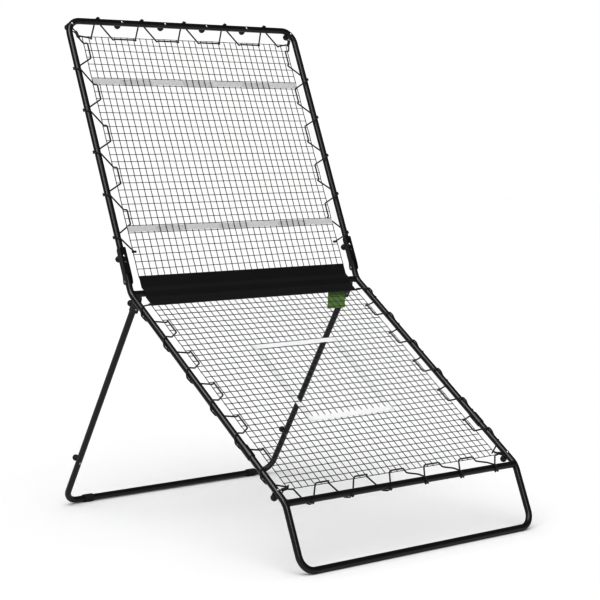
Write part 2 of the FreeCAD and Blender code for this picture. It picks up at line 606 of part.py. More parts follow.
def net(bottom, top):
    """Strings both ways: the upright ones in front, touching the level ones at every crossing."""
    half = STRING_WIDTH / 2
    row_pitch = (top - bottom) / ROW_COUNT
    strings = []
    for index in range(COLUMN_COUNT + 1):
        x = -NET_X + COLUMN_PITCH * index
        corner = V(x - half, bottom - half, 0)
        strings.append(Part.makeBox(STRING_WIDTH, top - bottom + STRING_WIDTH, STRING_THICKNESS, corner))
    for index in range(ROW_COUNT + 1):
        y = bottom + row_pitch * index
        corner = V(-NET_X - half, y - half, -STRING_THICKNESS)
        strings.append(Part.makeBox(NET_WIDTH + STRING_WIDTH, STRING_WIDTH, STRING_THICKNESS, corner))
    return group(strings)


def webbing(x, y, width, height):
    """A flat strap in front of the net, from its middle and its size."""
    corner = V(x - width / 2, y - height / 2, STRING_THICKNESS + GAP)
    return Part.makeBox(width, height, WEBBING_THICKNESS, corner)


def folded_sheet(line, bends, thickness, width):
    """A sheet as wide as the net, whose back follows the line from its top down."""
    normals = [X_AXIS.cross(first - second).normalize() for first, second in zip(line, line[1:])]
    front = [line[0] + normals[0] * thickness]
    front_bends = []
    for corner, before, after, bend in zip(line[1:], normals, normals[1:], bends):
        front.append(corner + (before + after) * (thickness / (1 + before.dot(after))))
        outward = before.cross(after).x > 0
        front_bends.append(bend + thickness if outward else bend - thickness)
    front.append(line[-1] + normals[-1] * thickness)
    edges = rounded_path(line, bends).Edges + rounded_path(front, front_bends).Edges
    edges.append(Part.LineSegment(line[0], front[0]).toShape())
    edges.append(Part.LineSegment(line[-1], front[-1]).toShape())
    outline = Part.Wire(Part.__sortEdges__(edges))
    sheet = Part.Face(outline).extrude(X_AXIS * width)
    sheet.translate(X_AXIS * (-width / 2))
    return sheet


def fabric():
    """Nets, the straps on them, the cloth band round the hinge cross tube and its tag."""
    net_top = UPPER_LENGTH - NET_TOP_GAP
    parts["upper_net"] = moved(net(BAND_ABOVE, net_top), UPPER)
    parts["lower_net"] = moved(net(-LOWER_LENGTH + NET_BOTTOM_GAP, -BAND_BELOW), LOWER)
    strap = webbing(0, UPPER_LENGTH - HIGH_STRAP_DROP, NET_WIDTH, WEBBING_WIDTH)
    parts["high_strap"] = moved(strap, UPPER)
    strap = webbing(0, UPPER_LENGTH - LOW_STRAP_DROP, NET_WIDTH, WEBBING_WIDTH)
    parts["low_strap"] = moved(strap, UPPER)

    middle = -TARGET_TOP - TARGET_HEIGHT / 2
    outside = webbing(0, middle, TARGET_WIDTH + WEBBING_WIDTH, TARGET_HEIGHT + WEBBING_WIDTH)
    inside = webbing(0, middle, TARGET_WIDTH - WEBBING_WIDTH, TARGET_HEIGHT - WEBBING_WIDTH)
    parts["target_straps"] = moved(outside.cut(inside), LOWER)

    edge = STRING_WIDTH / 2 + GAP
    above = in_plane(UPPER, 0, BAND_ABOVE - edge)
    below = in_plane(LOWER, 0, -BAND_BELOW + edge)
    forward = (UPPER.Rotation.multVec(Z_AXIS) + LOWER.Rotation.multVec(Z_AXIS)).normalize()
    tube_bend = TUBE_R + 2 * GAP
    half_fold = math.radians(180 - LOWER_LEAN + UPPER_LEAN) / 2
    tangent = math.acos(tube_bend / BAND_FOLD)
    crease = in_plane(UPPER, 0, 0) + forward * (tube_bend / math.cos(half_fold - tangent))
    line = [above, in_plane(UPPER, 0, BAND_FOLD), crease, in_plane(LOWER, 0, -BAND_FOLD), below]
    band = folded_sheet(line, [BAND_FOLD_BEND, tube_bend, BAND_FOLD_BEND], BAND_THICKNESS, NET_WIDTH)
    parts["fabric_band"] = band

    tag_x = TAG_CENTRE - TAG_WIDTH / 2
    tag_corner = V(tag_x, below.y + TAG_SETBACK, below.z + TAG_RISE - TAG_HEIGHT)
    parts["cloth_tag"] = Part.makeBox(TAG_WIDTH, TAG_THICKNESS, TAG_HEIGHT, tag_corner)


def free_spot(place, strings, straps=()):
    """The place nearest to the wanted one where the cord fits through between the strings."""
    blocked = [(line - STRING_CLEARANCE, line + STRING_CLEARANCE) for line in strings]
    blocked += [(line - WEBBING_CLEARANCE, line + WEBBING_CLEARANCE) for line in straps]
    candidates = [place] + [edge for pair in blocked for edge in pair]
    free = [spot for spot in candidates if all(spot <= low or spot >= high for low, high in blocked)]
    return min(free, key=lambda spot: abs(spot - place))


class LacedEdge:
    """A tube with the net's edge beside it: distances along it, in from it and off the net's plane."""

    def __init__(self, origin, along, inward, strings, straps=()):
        self.origin = origin
        self.along = along
        self.inward = inward
        self.strings = strings
        self.straps = straps

    def point(self, along, inward, off):
        return self.origin + self.along * along + self.inward * inward + Z_AXIS * off

    def clear(self, along, strings=()):
        """The place along the edge nearest to the wanted one that is clear of strings and straps."""
        way = self.along.x + self.along.y
        return way * free_spot(way * along, strings, self.straps)

    def through(self, along, inward, to_front):
        """The cord passes through the net near the place, between the strings."""
        along = self.clear(along, self.strings)
        order = (-RUN_Z, RUN_Z) if to_front else (RUN_Z, -RUN_Z)
        return [(self.point(along, inward, off), CORD_R * 1.4) for off in order]

    def corner(self, along, angle, bend):
        """A bend of the cord round the tube: the front is at 90 degrees, the outside at 180."""
        reach = WRAP_R / math.cos(math.radians(WRAP_STEP / 2))
        turn = math.radians(angle)
        return (self.point(along, reach * math.cos(turn), reach * math.sin(turn)), bend)

    def over_peg(self, peg_place, before, after):
        """The cord goes behind the tube, over the peg's front and behind the tube again."""
        route = []
        for side, spread in ((-1, before), (1, after)):
            close = peg_place + side * PEG_WRAP
            leg = [self.corner(peg_place + side * spread, WRAP_BEHIND, 12.0)]
            leg.append(self.corner(close, WRAP_BEHIND - WRAP_STEP, 9.0))
            leg.append((self.point(close, -WRAP_R, PEG_WRAP), PEG_WRAP * 0.96))
            route += leg if side < 0 else leg[::-1]
        return route

    def past_peg(self, peg_place, wrap, front_first):
        """The cord crosses the tube in front, passes the peg outside it and goes on behind."""
        way = -1 if front_first else 1
        angles = (-WRAP_BEHIND, WRAP_STEP - WRAP_BEHIND, WRAP_BEHIND - WRAP_STEP, WRAP_BEHIND)
        route = [self.corner(peg_place + way * reach, angle, bend)
                 for reach, angle, bend in zip(wrap, angles, (12.0, 9.0, 9.0, 12.0))]
        return route if front_first else route[::-1]


def lacing(route):
    """One elastic cord along a list of (point, bend radius)."""
    points = [point for point, radius in route]
    radii = [radius for point, radius in route[1:-1]]
    return bent_rod(points, radii, CORD_R)


def knot(centre, direction):
    """The whipped end of a cord: a short thick barrel with round ends."""
    radius = KNOT_DIAMETER / 2
    half = V(direction).normalize() * (KNOT_LENGTH / 2 - radius)
    barrel = rod(radius, centre - half, centre + half)
    return barrel.fuse(Part.makeSphere(radius, centre - half)).fuse(Part.makeSphere(radius, centre + half))


def runs_between(pegs, length, shift=0.0):
    """Where the cord lies in front of the net, midway between pegs or a little off."""
    middles = [(first + second) / 2 + shift for first, second in zip(pegs, pegs[1:])]
    return [(middle - length / 2, middle + length / 2) for middle in middles]


def lace_over(edge, pegs, inset, runs, spreads):
    """Route along a cross tube: over each peg, and through the net to run in front between them."""
    route = []
    for index, peg_place in enumerate(pegs):
        if index > 0:
            start, end = runs[index - 1]
            route += edge.through(start, inset, True)
            route += edge.through(end, inset, False)
        before, after = spreads[index]
        route += edge.over_peg(peg_place, before, after)
    return route


def ends_in_front(edge, start, end, inset, bow):
    """A run that comes through to the front and leaves the net there, with the bow of its slack."""
    end = edge.clear(end)
    route = edge.through(start, inset, True)
    route.append((edge.point(end, inset, RUN_Z), CORD_R * 2))
    return route + [(edge.point(end + along, inward, off), 10.0) for along, inward, off in bow]


def lace_front(edge, pegs, inset, runs, spreads, wrap, bow):
    """Route along the front tube: over its left pegs, then past its right ones."""
    route = []
    for index, peg_place in enumerate(pegs):
        crosses = peg_place > 0
        if index > 0 and crosses:
            route += ends_in_front(edge, *runs[index - 1], inset, bow)
        elif index > 0:
            start, end = runs[index - 1]
            route += edge.through(start, inset, True) + edge.through(end, inset, False)
        if crosses:
            route += edge.past_peg(peg_place, wrap, True)
        else:
            route += edge.over_peg(peg_place, *spreads[index])
    return route


def lace_past(edge, pegs, inset, runs, wraps, front_first, bow=()):
    """Route along a side tube: past each peg, with one leg of each run in front of the net."""
    route = []
    for index, peg_place in enumerate(pegs):
        if index > 0:
            start, end = runs[index - 1]
            if front_first:
                route += ends_in_front(edge, start, end, inset, bow)
            else:
                route.append((edge.point(edge.clear(start), inset, RUN_Z), CORD_R * 2))
                route += edge.through(end, inset, False)
        route += edge.past_peg(peg_place, wraps[index], front_first)
    return route


def cord_corner(before, corner, after):
    """Where the cord's sharp corner lies once it is rounded, and which way it points."""
    into = (corner - before).normalize()
    out = (after - corner).normalize()
    outward = (into - out).normalize()
    half_turn = into.getAngle(out) / 2
    return corner - outward * (CORNER_CORD_BEND / math.cos(half_turn) - CORNER_CORD_BEND), outward


SIDE_INSET = RAIL_X - NET_X + COLUMN_PITCH / 2
TOP_INSET = NET_TOP_GAP + EDGE_INSET
TOP_TURN = TOP_PEGS[-1] + (TOP_PEG_SPACING - TOP_RUN_LENGTH) / 2
FRONT_BOW = [(-3.0, 46.0, RUN_Z), (44.0, 24.0, 10.5)]


def upper_corner_line(out):
    """The cord's places round the net's upper left corner, pulled out by so much."""
    row = UPPER_LENGTH - NET_TOP_GAP - UPPER_ROW_PITCH
    return [V(-NET_X + COLUMN_PITCH / 2, row, RUN_Z),
            V(-NET_X - CORNER_EDGE_DROP, row - CORNER_EDGE_DROP, RUN_Z),
            V(-NET_X - out, UPPER_LENGTH - UPPER_CORNER_DROP, RUN_Z),
            V(-TOP_TURN, UPPER_LENGTH - TOP_INSET, RUN_Z)]


def lower_corner_line():
    """The cord's places round the net's lower left corner."""
    edge = -LOWER_LENGTH + NET_BOTTOM_GAP
    return [V(-NET_X + EDGE_INSET, edge + LOWER_ROW_PITCH / 2, RUN_Z),
            V(-NET_X - LOWER_CORNER_OUT, -LOWER_LENGTH + LOWER_CORNER_LIFT, RUN_Z),
            V(-NET_X + COLUMN_PITCH / 2, edge - 2 * CORNER_EDGE_DROP, RUN_Z)]


def mirrored(point):
    return V(-point.x, point.y, point.z)


def upper_lacing():
    columns = [-NET_X + COLUMN_PITCH * index for index in range(COLUMN_COUNT + 1)]
    rows = [BAND_ABOVE + UPPER_ROW_PITCH * index for index in range(ROW_COUNT + 1)]
    straps = [UPPER_LENGTH - HIGH_STRAP_DROP, UPPER_LENGTH - LOW_STRAP_DROP]
    left = LacedEdge(V(-RAIL_X, 0, 0), Y_AXIS, X_AXIS, rows, straps)
    top = LacedEdge(V(0, UPPER_LENGTH, 0), X_AXIS, -Y_AXIS, columns)
    right = LacedEdge(V(RAIL_X, 0, 0), -Y_AXIS, -X_AXIS, rows, straps)

    up_pegs = LEFT_PEGS[::-1]
    down_pegs = [-y for y in RIGHT_PEGS]
    up_runs = runs_between(up_pegs, SIDE_RUN_LENGTH, -LEFT_PEG_RISE)
    down_runs = runs_between(down_pegs, SIDE_RUN_LENGTH, -RIGHT_PEG_DROP)
    knot_z = STRING_THICKNESS + CORD_GAP + KNOT_DIAMETER / 2
    left_end = V(-NET_X + LEFT_END_INSET, UPPER_END_RISE, knot_z)
    right_end = V(NET_X - RIGHT_END_INSET, UPPER_END_RISE, knot_z)
    side_turn = UPPER_PEGS[0] + (UPPER_PEG_SPACING - SIDE_RUN_LENGTH) / 2
    bends = (CORD_R * 2, 8.0, CORNER_CORD_BEND)
    turns = list(zip(upper_corner_line(UPPER_CORNER_OUT), bends))
    right_turns = list(zip(upper_corner_line(UPPER_RIGHT_CORNER_OUT), bends))

    route = [(left_end, 0)]
    left_wraps = [UPPER_LEFT_WRAP] * UPPER_PEG_COUNT
    bow = [(0.0, RAIL_X - NET_X, RUN_Z)]
    route += lace_past(left, up_pegs, SIDE_INSET, up_runs, left_wraps, True, bow)
    route += left.through(side_turn, SIDE_INSET, True)
    route += turns
    route += top.through(-TOP_TURN, TOP_INSET, False)
    top_runs = runs_between(TOP_PEGS, TOP_RUN_LENGTH)
    route += lace_over(top, TOP_PEGS, TOP_INSET, top_runs, [TOP_LEG_SPREADS] * TOP_PEG_COUNT)
    route += top.through(TOP_TURN, TOP_INSET, True)
    route += [(mirrored(point), bend) for point, bend in right_turns[::-1]]
    route += right.through(-side_turn, SIDE_INSET, False)
    right_wraps = [UPPER_RIGHT_WRAP] * UPPER_PEG_COUNT
    route += lace_past(right, down_pegs, SIDE_INSET, down_runs, right_wraps, False)
    route.append((right_end, 0))
    cord = lacing(route)
    cord = cord.fuse(knot(left_end, X_AXIS)).fuse(knot(right_end, X_AXIS))
    parts["upper_lacing"] = moved(cord, UPPER)


def lower_lacing():
    columns = [-NET_X + COLUMN_PITCH * index for index in range(COLUMN_COUNT + 1)]
    rows = [-BAND_BELOW - LOWER_ROW_PITCH * index for index in range(ROW_COUNT + 1)]
    left = LacedEdge(V(-RAIL_X, 0, 0), -Y_AXIS, X_AXIS, rows)
    front = LacedEdge(V(0, -LOWER_LENGTH, 0), X_AXIS, Y_AXIS, columns)
    right = LacedEdge(V(RAIL_X, 0, 0), Y_AXIS, -X_AXIS, rows)

    front_inset = NET_BOTTOM_GAP + FRONT_EDGE_INSET
    down_pegs = [-y for y in LOWER_PEGS]
    up_pegs = LOWER_PEGS[::-1]
    down_runs = runs_between(down_pegs, LOWER_RUN_LENGTH, -LOWER_RUN_LIFT)
    up_runs = runs_between(up_pegs, LOWER_RUN_LENGTH, LOWER_RUN_LIFT)
    front_spreads = [(WIDE_LEG_SPREAD, WIDE_LEG_SPREAD)] * FRONT_PEG_COUNT
    front_spreads[0] = (NARROW_LEG_SPREAD, WIDE_LEG_SPREAD)
    front_runs = [runs_between(pair, length, shift)[0]
                  for pair, (shift, length) in zip(zip(FRONT_PEGS, FRONT_PEGS[1:]), FRONT_RUNS)]
    knot_z = BAND_THICKNESS + CORD_GAP + KNOT_DIAMETER / 2
    left_end = V(-NET_X - LOWER_END_OUT, -LOWER_END_DROP, knot_z)
    right_end = mirrored(left_end)
    inside, corner, under = lower_corner_line()
    corner_inset = RAIL_X + inside.x
    turns = [(corner, CORNER_CORD_BEND), (under, 8.0)]
    right_turns = [(mirrored(under), 8.0), (mirrored(corner), CORNER_CORD_BEND)]

    route = [(left_end, 0)]
    left_wraps = [LOWER_LEFT_WRAP] * LOWER_PEG_COUNT
    bow = [(24.0, SIDE_INSET / 2, RUN_Z)]
    route += lace_past(left, down_pegs, SIDE_INSET, down_runs, left_wraps, True, bow)
    route += left.through(-inside.y, corner_inset, True)
    route += turns
    route += lace_front(front, FRONT_PEGS, front_inset, front_runs, front_spreads, FRONT_WRAP, FRONT_BOW)
    route += right_turns
    route += right.through(inside.y, corner_inset, False)
    right_wraps = [LOWER_RIGHT_WRAP] * (LOWER_PEG_COUNT - 1) + [LOWER_END_WRAP]
    route += lace_past(right, up_pegs, SIDE_INSET, up_runs, right_wraps, False)
    route.append((right_end, 0))
    cord = lacing(route)
    cord = cord.fuse(knot(left_end, X_AXIS)).fuse(knot(right_end, X_AXIS))
    parts["lower_lacing"] = moved(cord, LOWER)


def corner_elastic(bolt, corner, outward):
    """An elastic doubled round a corner knob's hub, tied to a ring round the lacing's corner."""
    level = V(corner.x - bolt.x, corner.y - bolt.y, 0)
    reach = level.Length
    toward = level.normalize()
    across = Z_AXIS.cross(toward)
    hub_r = KNOB_HUB_DIAMETER / 2 + ELASTIC_R + 2 * CORD_GAP
    hub_z = -(TUBE_R + ELASTIC_R + CORD_GAP)
    strand = ELASTIC_R + GAP
    knot_r = ELASTIC_KNOT_DIAMETER / 2
    near = reach - ELASTIC_RING + knot_r - ELASTIC_KNOT_LENGTH + GAP

    def at(along, side, off):
        return V(bolt.x, bolt.y, 0) + toward * along + across * side + Z_AXIS * off

    def turn(side):
        return [(at(TUBE_R + 3, side * hub_r, hub_z), 8.0), (at(-hub_r, side * hub_r, hub_z), hub_r * 0.9)]

    route = [(at(near, strand, corner.z), 0)] + turn(1) + turn(-1)[::-1] + [(at(near, -strand, corner.z), 0)]
    ring = Part.makeTorus(ELASTIC_RING, ELASTIC_R, corner, Z_AXIS.cross(outward))
    points = [point for point, bend in route]
    bends = [bend for point, bend in route[1:-1]]
    first = at(near, 0, corner.z)
    last = at(near + ELASTIC_KNOT_LENGTH - 2 * knot_r, 0, corner.z)
    tied = rod(knot_r, first, last).fuse(Part.makeSphere(knot_r, first)).fuse(Part.makeSphere(knot_r, last))
    return bent_rod(points, bends, ELASTIC_R).fuse(tied).fuse(ring)


def corner_elastics():
    upper = [upper_corner_line(out)[1:] for out in (UPPER_CORNER_OUT, UPPER_RIGHT_CORNER_OUT)]
    lower = [lower_corner_line()] * 2
    for name, plane, bolt, lines in (("upper", UPPER, UPPER_CORNER, upper),
                                     ("lower", LOWER, FRONT_CORNER, lower)):
        left, right = [corner_elastic(V(-bolt[0], bolt[1], 0), *cord_corner(*line)) for line in lines]
        pair = group([left, right.mirror(V(0, 0, 0), X_AXIS)])
        parts[name + "_corner_elastics"] = moved(pair, plane)


upper_frame()
upper_fasteners()
lower_frame()
rear_leg()
fabric()
upper_lacing()
lower_lacing()
corner_elastics()

os.makedirs("parts", exist_ok=True)
for node, shape in parts.items():
    print(node, len(shape.Solids), "valid" if shape.isValid() else "NOT VALID", round(shape.Volume))
    shape.exportStep("parts/" + node + ".step")
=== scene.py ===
"""A folding ball rebounder: painted tubes, laced nets, webbing, a cloth band and its stage."""

import json
import math

import bmesh
import bpy
from bpy.props import FloatProperty, FloatVectorProperty, IntProperty, PointerProperty
from mathutils import Matrix, Vector, noise


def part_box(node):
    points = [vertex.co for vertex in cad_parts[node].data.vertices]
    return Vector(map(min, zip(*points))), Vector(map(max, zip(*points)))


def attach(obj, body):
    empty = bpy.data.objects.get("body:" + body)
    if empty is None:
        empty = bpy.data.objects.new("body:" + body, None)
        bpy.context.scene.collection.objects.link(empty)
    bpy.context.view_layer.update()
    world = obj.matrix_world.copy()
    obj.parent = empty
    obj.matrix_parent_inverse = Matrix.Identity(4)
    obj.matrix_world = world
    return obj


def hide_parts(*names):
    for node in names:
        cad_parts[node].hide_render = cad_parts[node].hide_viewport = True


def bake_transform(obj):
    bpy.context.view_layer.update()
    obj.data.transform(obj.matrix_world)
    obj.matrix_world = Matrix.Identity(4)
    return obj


bl_info = {
    "name": "Laced Net Rebounder",
    "version": (1, 0, 0),
    "blender": (4, 5, 0),
    "location": "View3D > Sidebar > Rebounder",
    "description": "Builds the nets, lacing, webbing, cloth and finishes of a folding ball rebounder",
    "category": "Object",
}

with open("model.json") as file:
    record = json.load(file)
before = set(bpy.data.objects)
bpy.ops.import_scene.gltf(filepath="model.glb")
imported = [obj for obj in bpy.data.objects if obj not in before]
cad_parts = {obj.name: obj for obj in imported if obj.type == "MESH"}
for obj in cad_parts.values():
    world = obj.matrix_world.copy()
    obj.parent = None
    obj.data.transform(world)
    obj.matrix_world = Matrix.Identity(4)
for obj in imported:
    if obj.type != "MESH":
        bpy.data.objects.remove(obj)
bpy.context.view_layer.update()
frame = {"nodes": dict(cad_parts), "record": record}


# The object's own planes and sizes. Lengths in a plane are millimetres: X across, Y up the frame, and Z
# towards its front.

def node_centre(name):
    low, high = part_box(name)
    return (Vector(low) + Vector(high)) / 2


HINGE = node_centre("hinge_cross_tube")


def plane_of(lean):
    """From millimetres in a frame's own plane to metres in the whole."""
    turn = Matrix.Rotation(math.radians(90.0 - lean), 4, "X")
    return Matrix.Translation(HINGE) @ turn @ Matrix.Scale(0.001, 4)


UPPER_LEAN = 21.95
LOWER_LEAN = 54.02
REAR_LEAN = -31.23
UPPER = plane_of(UPPER_LEAN)
LOWER = plane_of(LOWER_LEAN)
REAR = plane_of(REAR_LEAN)
WHOLE = Matrix.Scale(0.001, 4)

UPPER_LENGTH = 1228.0
LOWER_LENGTH = 1221.0
RAIL_X = 625.0
LEG_X = 586.0
TUBE_R = 13.25
NET_X = 566.0
CELLS = 34
COLUMN_PITCH = 2 * NET_X / CELLS
UPPER_NET = (75.0, UPPER_LENGTH - 71.6)
LOWER_NET = (-LOWER_LENGTH + 65.5, -76.0)
UPPER_ROW_PITCH = (UPPER_NET[1] - UPPER_NET[0]) / CELLS
LOWER_ROW_PITCH = (LOWER_NET[1] - LOWER_NET[0]) / CELLS
HIGH_STRAP = UPPER_LENGTH - 278.3
LOW_STRAP = UPPER_LENGTH - 946.0
WEBBING_OFF = 2.3
TARGET_TOP = -379.5
TARGET_BOTTOM = -818.0
TARGET_SIDE = 216.0
SIDE_PEG_SPACING = 189.5
TOP_PEG_SPACING = 231.0
FRONT_PEG_SPACING = 201.2
UPPER_FIRST_PEG = UPPER_LENGTH - 232.5
LOWER_FIRST_PEG = -130.0
LEFT_PEG_SHIFT = 14.0
RIGHT_PEG_SHIFT = -8.5
TOP_PEGS = [TOP_PEG_SPACING * (index - 2) for index in range(5)]
UPPER_PEGS = [UPPER_FIRST_PEG - SIDE_PEG_SPACING * index for index in range(5)]
LEFT_PEGS = [place + LEFT_PEG_SHIFT for place in UPPER_PEGS]
RIGHT_PEGS = [place + RIGHT_PEG_SHIFT for place in UPPER_PEGS]
LOWER_PEGS = [LOWER_FIRST_PEG - SIDE_PEG_SPACING * index for index in range(6)]
FRONT_PEGS = [FRONT_PEG_SPACING * (index - 2.5) for index in range(6)]
FRONT_RUNS = [(-427.0, -362.0), (-232.0, -166.0), (-35.0, 33.0), (152.0, 232.0), (351.0, 427.0)]
SIDE_RUN = 70.0
LOWER_RUN = 74.0
LOWER_RUN_SHIFT = 7.5
TOP_RUN = 114.0
TOP_CORNER_BEND = 62.0
FOOT_CORNER_BEND = 61.0
CORNER_DIAGONAL = TOP_CORNER_BEND * (1 - math.sqrt(0.5))
UPPER_CORNER = Vector((RAIL_X - CORNER_DIAGONAL, UPPER_LENGTH - CORNER_DIAGONAL, 0.0))
FRONT_CORNER = Vector((RAIL_X, -LOWER_LENGTH + FOOT_CORNER_BEND, 0.0))
X_AXIS = Vector((1.0, 0.0, 0.0))
Y_AXIS = Vector((0.0, 1.0, 0.0))
Z_AXIS = Vector((0.0, 0.0, 1.0))


# Settings that a user would change

class FRAME_PG_settings(bpy.types.PropertyGroup):
    """Painted tubes and their hardware."""

    paint: FloatVectorProperty(
        name="Paint", description="Colour of the powder coat on the tubes", subtype="COLOR",
        size=4, min=0.0, max=1.0, default=(0.0075, 0.0075, 0.008, 1.0))
    paint_roughness: FloatProperty(
        name="Paint Roughness", description="How soft the reflections in the paint are",
        min=0.0, max=1.0, default=0.36, subtype="FACTOR")
    zinc: FloatVectorProperty(
        name="Zinc", description="Colour of the plated bolts, pins and rivets", subtype="COLOR",
        size=4, min=0.0, max=1.0, default=(0.27, 0.28, 0.3, 1.0))
    plastic: FloatVectorProperty(
        name="Knob Plastic", description="Colour of the knobs and pegs", subtype="COLOR",
        size=4, min=0.0, max=1.0, default=(0.011, 0.011, 0.012, 1.0))
    weld_size: FloatProperty(
        name="Weld Bead", description="Thickness of the weld beads at the cross tubes",
        unit="LENGTH", min=0.001, max=0.01, default=0.0042)


class NET_PG_settings(bpy.types.PropertyGroup):
    """The two nets."""

    string_width: FloatProperty(
        name="Upright String", description="Thickness of the strings that run up the upper net",
        unit="LENGTH", min=0.0005, max=0.005, default=0.0031, precision=5)
    level_width: FloatProperty(
        name="Level String", description="Thickness of the strings that run across the upper net",
        unit="LENGTH", min=0.0005, max=0.005, default=0.0026, precision=5)
    crossing: FloatProperty(
        name="Crossing Swell", description="How much thicker the twine is where strings cross",
        min=1.0, max=2.5, default=1.3)
    wave: FloatProperty(
        name="Weave Height", description="How far a string swings over and under the others",
        unit="LENGTH", min=0.0, max=0.003, default=0.0006, precision=5)
    twine: FloatVectorProperty(
        name="Twine", description="Colour of the net", subtype="COLOR",
        size=4, min=0.0, max=1.0, default=(0.018, 0.018, 0.02, 1.0))


class CLOTH_PG_settings(bpy.types.PropertyGroup):
    """Webbing, band and tag."""

    webbing: FloatVectorProperty(
        name="Webbing", description="Colour of the straps", subtype="COLOR",
        size=4, min=0.0, max=1.0, default=(0.67, 0.67, 0.68, 1.0))
    strike: FloatVectorProperty(
        name="Strike Square", description="Colour of the strike square's webbing", subtype="COLOR",
        size=4, min=0.0, max=1.0, default=(0.93, 0.93, 0.94, 1.0))
    webbing_width: FloatProperty(
        name="Webbing Width", description="Width of the webbing", unit="LENGTH",
        min=0.01, max=0.05, default=0.025, precision=4)
    webbing_thickness: FloatProperty(
        name="Webbing Thickness", description="Thickness of the webbing", unit="LENGTH",
        min=0.0005, max=0.004, default=0.0012, precision=5)
    band: FloatVectorProperty(
        name="Band Cloth", description="Colour of the cloth band at the fold", subtype="COLOR",
        size=4, min=0.0, max=1.0, default=(0.0065, 0.0065, 0.0075, 1.0))
    pucker: FloatProperty(
        name="Pucker", description="Height of the small ripples beside the band's seams",
        unit="LENGTH", min=0.0, max=0.004, default=0.0007, precision=5)
    tag_green: FloatVectorProperty(
        name="Tag", description="Main colour of the cloth tag", subtype="COLOR",
        size=4, min=0.0, max=1.0, default=(0.23, 0.42, 0.09, 1.0))
    tag_dark: FloatVectorProperty(
        name="Tag Header", description="Colour of the strip at the top of the tag", subtype="COLOR",
        size=4, min=0.0, max=1.0, default=(0.105, 0.21, 0.04, 1.0))


class CORD_PG_settings(bpy.types.PropertyGroup):
    """Elastic lacing."""

    diameter: FloatProperty(
        name="Cord Diameter", description="Diameter of the elastic cord", unit="LENGTH",
        min=0.002, max=0.012, default=0.006, precision=4)
    strands: IntProperty(
        name="Braid Strands", description="Strands that turn each way round the cord's sleeve",
        min=4, max=24, default=8)
    sleeve: FloatVectorProperty(
        name="Cord Sleeve", description="Colour of the cord's braided sleeve", subtype="COLOR",
        size=4, min=0.0, max=1.0, default=(0.011, 0.011, 0.012, 1.0))


class STAGE_PG_settings(bpy.types.PropertyGroup):
    """Floor, light and camera."""

    floor: FloatVectorProperty(
        name="Floor", description="Colour of the floor", subtype="COLOR",
        size=4, min=0.0, max=1.0, default=(0.86, 0.86, 0.86, 1.0))
    sky: FloatProperty(
        name="Sky", description="Strength of the even light from all round", min=0.0, max=5.0, default=0.75)
    reflected: FloatProperty(
        name="Reflected Sky", description="Strength of the same light where shiny surfaces mirror it",
        min=0.0, max=5.0, default=0.12)
    key: FloatProperty(
        name="Key Light", description="Strength of the soft light from above", min=0.0, default=1.78)
    streak: FloatProperty(
        name="Streak Light", description="Power of the softbox that draws the streaks on the tubes",
        subtype="POWER", min=0.0, default=240.0)
    low_streak: FloatProperty(
        name="Low Streak Light", description="Power of the softbox that draws the streaks on the front legs",
        subtype="POWER", min=0.0, default=90.0)
    gamma: FloatProperty(
        name="Gamma", description="Contrast of the finished picture", min=0.3, max=2.0, default=0.72)
    focal_length: FloatProperty(
        name="Focal Length", description="Focal length of the camera in millimetres",
        min=10.0, max=300.0, default=107.01)


# Mesh helpers

def smooth_shading(bm, crease=32.0):
    """Smooth faces, with an edge kept sharp where the surface turns by more than the crease angle."""
    for face in bm.faces:
        face.smooth = True
    for edge in bm.edges:
        edge.smooth = len(edge.link_faces) == 2 and edge.calc_face_angle(0.0) < math.radians(crease)


def finished(bm, name, body, material, matrix=None, hides=(), crease=32.0, closed=True):
    """The finished piece: placed in its mesh, shaded, given its finish and set to ride on a body."""
    if matrix is not None:
        bmesh.ops.transform(bm, matrix=matrix, verts=bm.verts)
    if closed:
        bmesh.ops.recalc_face_normals(bm, faces=bm.faces)
    smooth_shading(bm, crease)
    mesh = bpy.data.meshes.new(name)
    bm.to_mesh(mesh)
    bm.free()
    mesh.materials.append(material)
    piece = bpy.data.objects.new(name, mesh)
    bpy.context.scene.collection.objects.link(piece)
    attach(piece, body)
    if hides:
        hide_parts(*hides)
    return piece


def body_with(node):
    for body, members in frame["record"]["behaviour"]["bodies"].items():
        if node in members:
            return body
    raise RuntimeError("No body holds " + node)


def refined(node, material, name, crease=32.0):
    """A welded, evenly shaded copy of a solid, which takes its place."""
    bm = bmesh.new()
    bm.from_mesh(frame["nodes"][node].data)
    bmesh.ops.remove_doubles(bm, verts=bm.verts, dist=1e-6)
    return finished(bm, name, body_with(node), material, hides=(node,), crease=crease)


def lathed(profile, matrix, steps=20):
    """A round form: (radius, height) pairs turned round the local Z axis."""
    bm = bmesh.new()
    verts = [bm.verts.new((radius, 0.0, height)) for radius, height in profile]
    edges = [bm.edges.new(pair) for pair in zip(verts, verts[1:])]
    bmesh.ops.spin(bm, geom=verts + edges, cent=(0, 0, 0), axis=(0, 0, 1), dvec=(0, 0, 0),
                   angle=math.tau, steps=steps, use_merge=True, use_duplicate=False)
    bmesh.ops.remove_doubles(bm, verts=bm.verts, dist=1e-4)
    bmesh.ops.transform(bm, matrix=matrix, verts=bm.verts)
    return bm


def add_copies(target, shape, step, count):
    """Adds a row of copies to a bmesh, each a step on from the last, and frees the shape."""
    mesh = bpy.data.meshes.new("copying")
    for _ in range(count):
        shape.to_mesh(mesh)
        target.from_mesh(mesh)
        bmesh.ops.translate(shape, verts=shape.verts, vec=step)
    shape.free()
    bpy.data.meshes.remove(mesh)


def merged(target, source):
    """Adds one bmesh to another and frees the added one."""
    add_copies(target, source, Vector(), 1)


def facing(direction, place):
    """A matrix that carries local Z to the direction, at the place."""
    return Matrix.Translation(place) @ Z_AXIS.rotation_difference(direction).to_matrix().to_4x4()


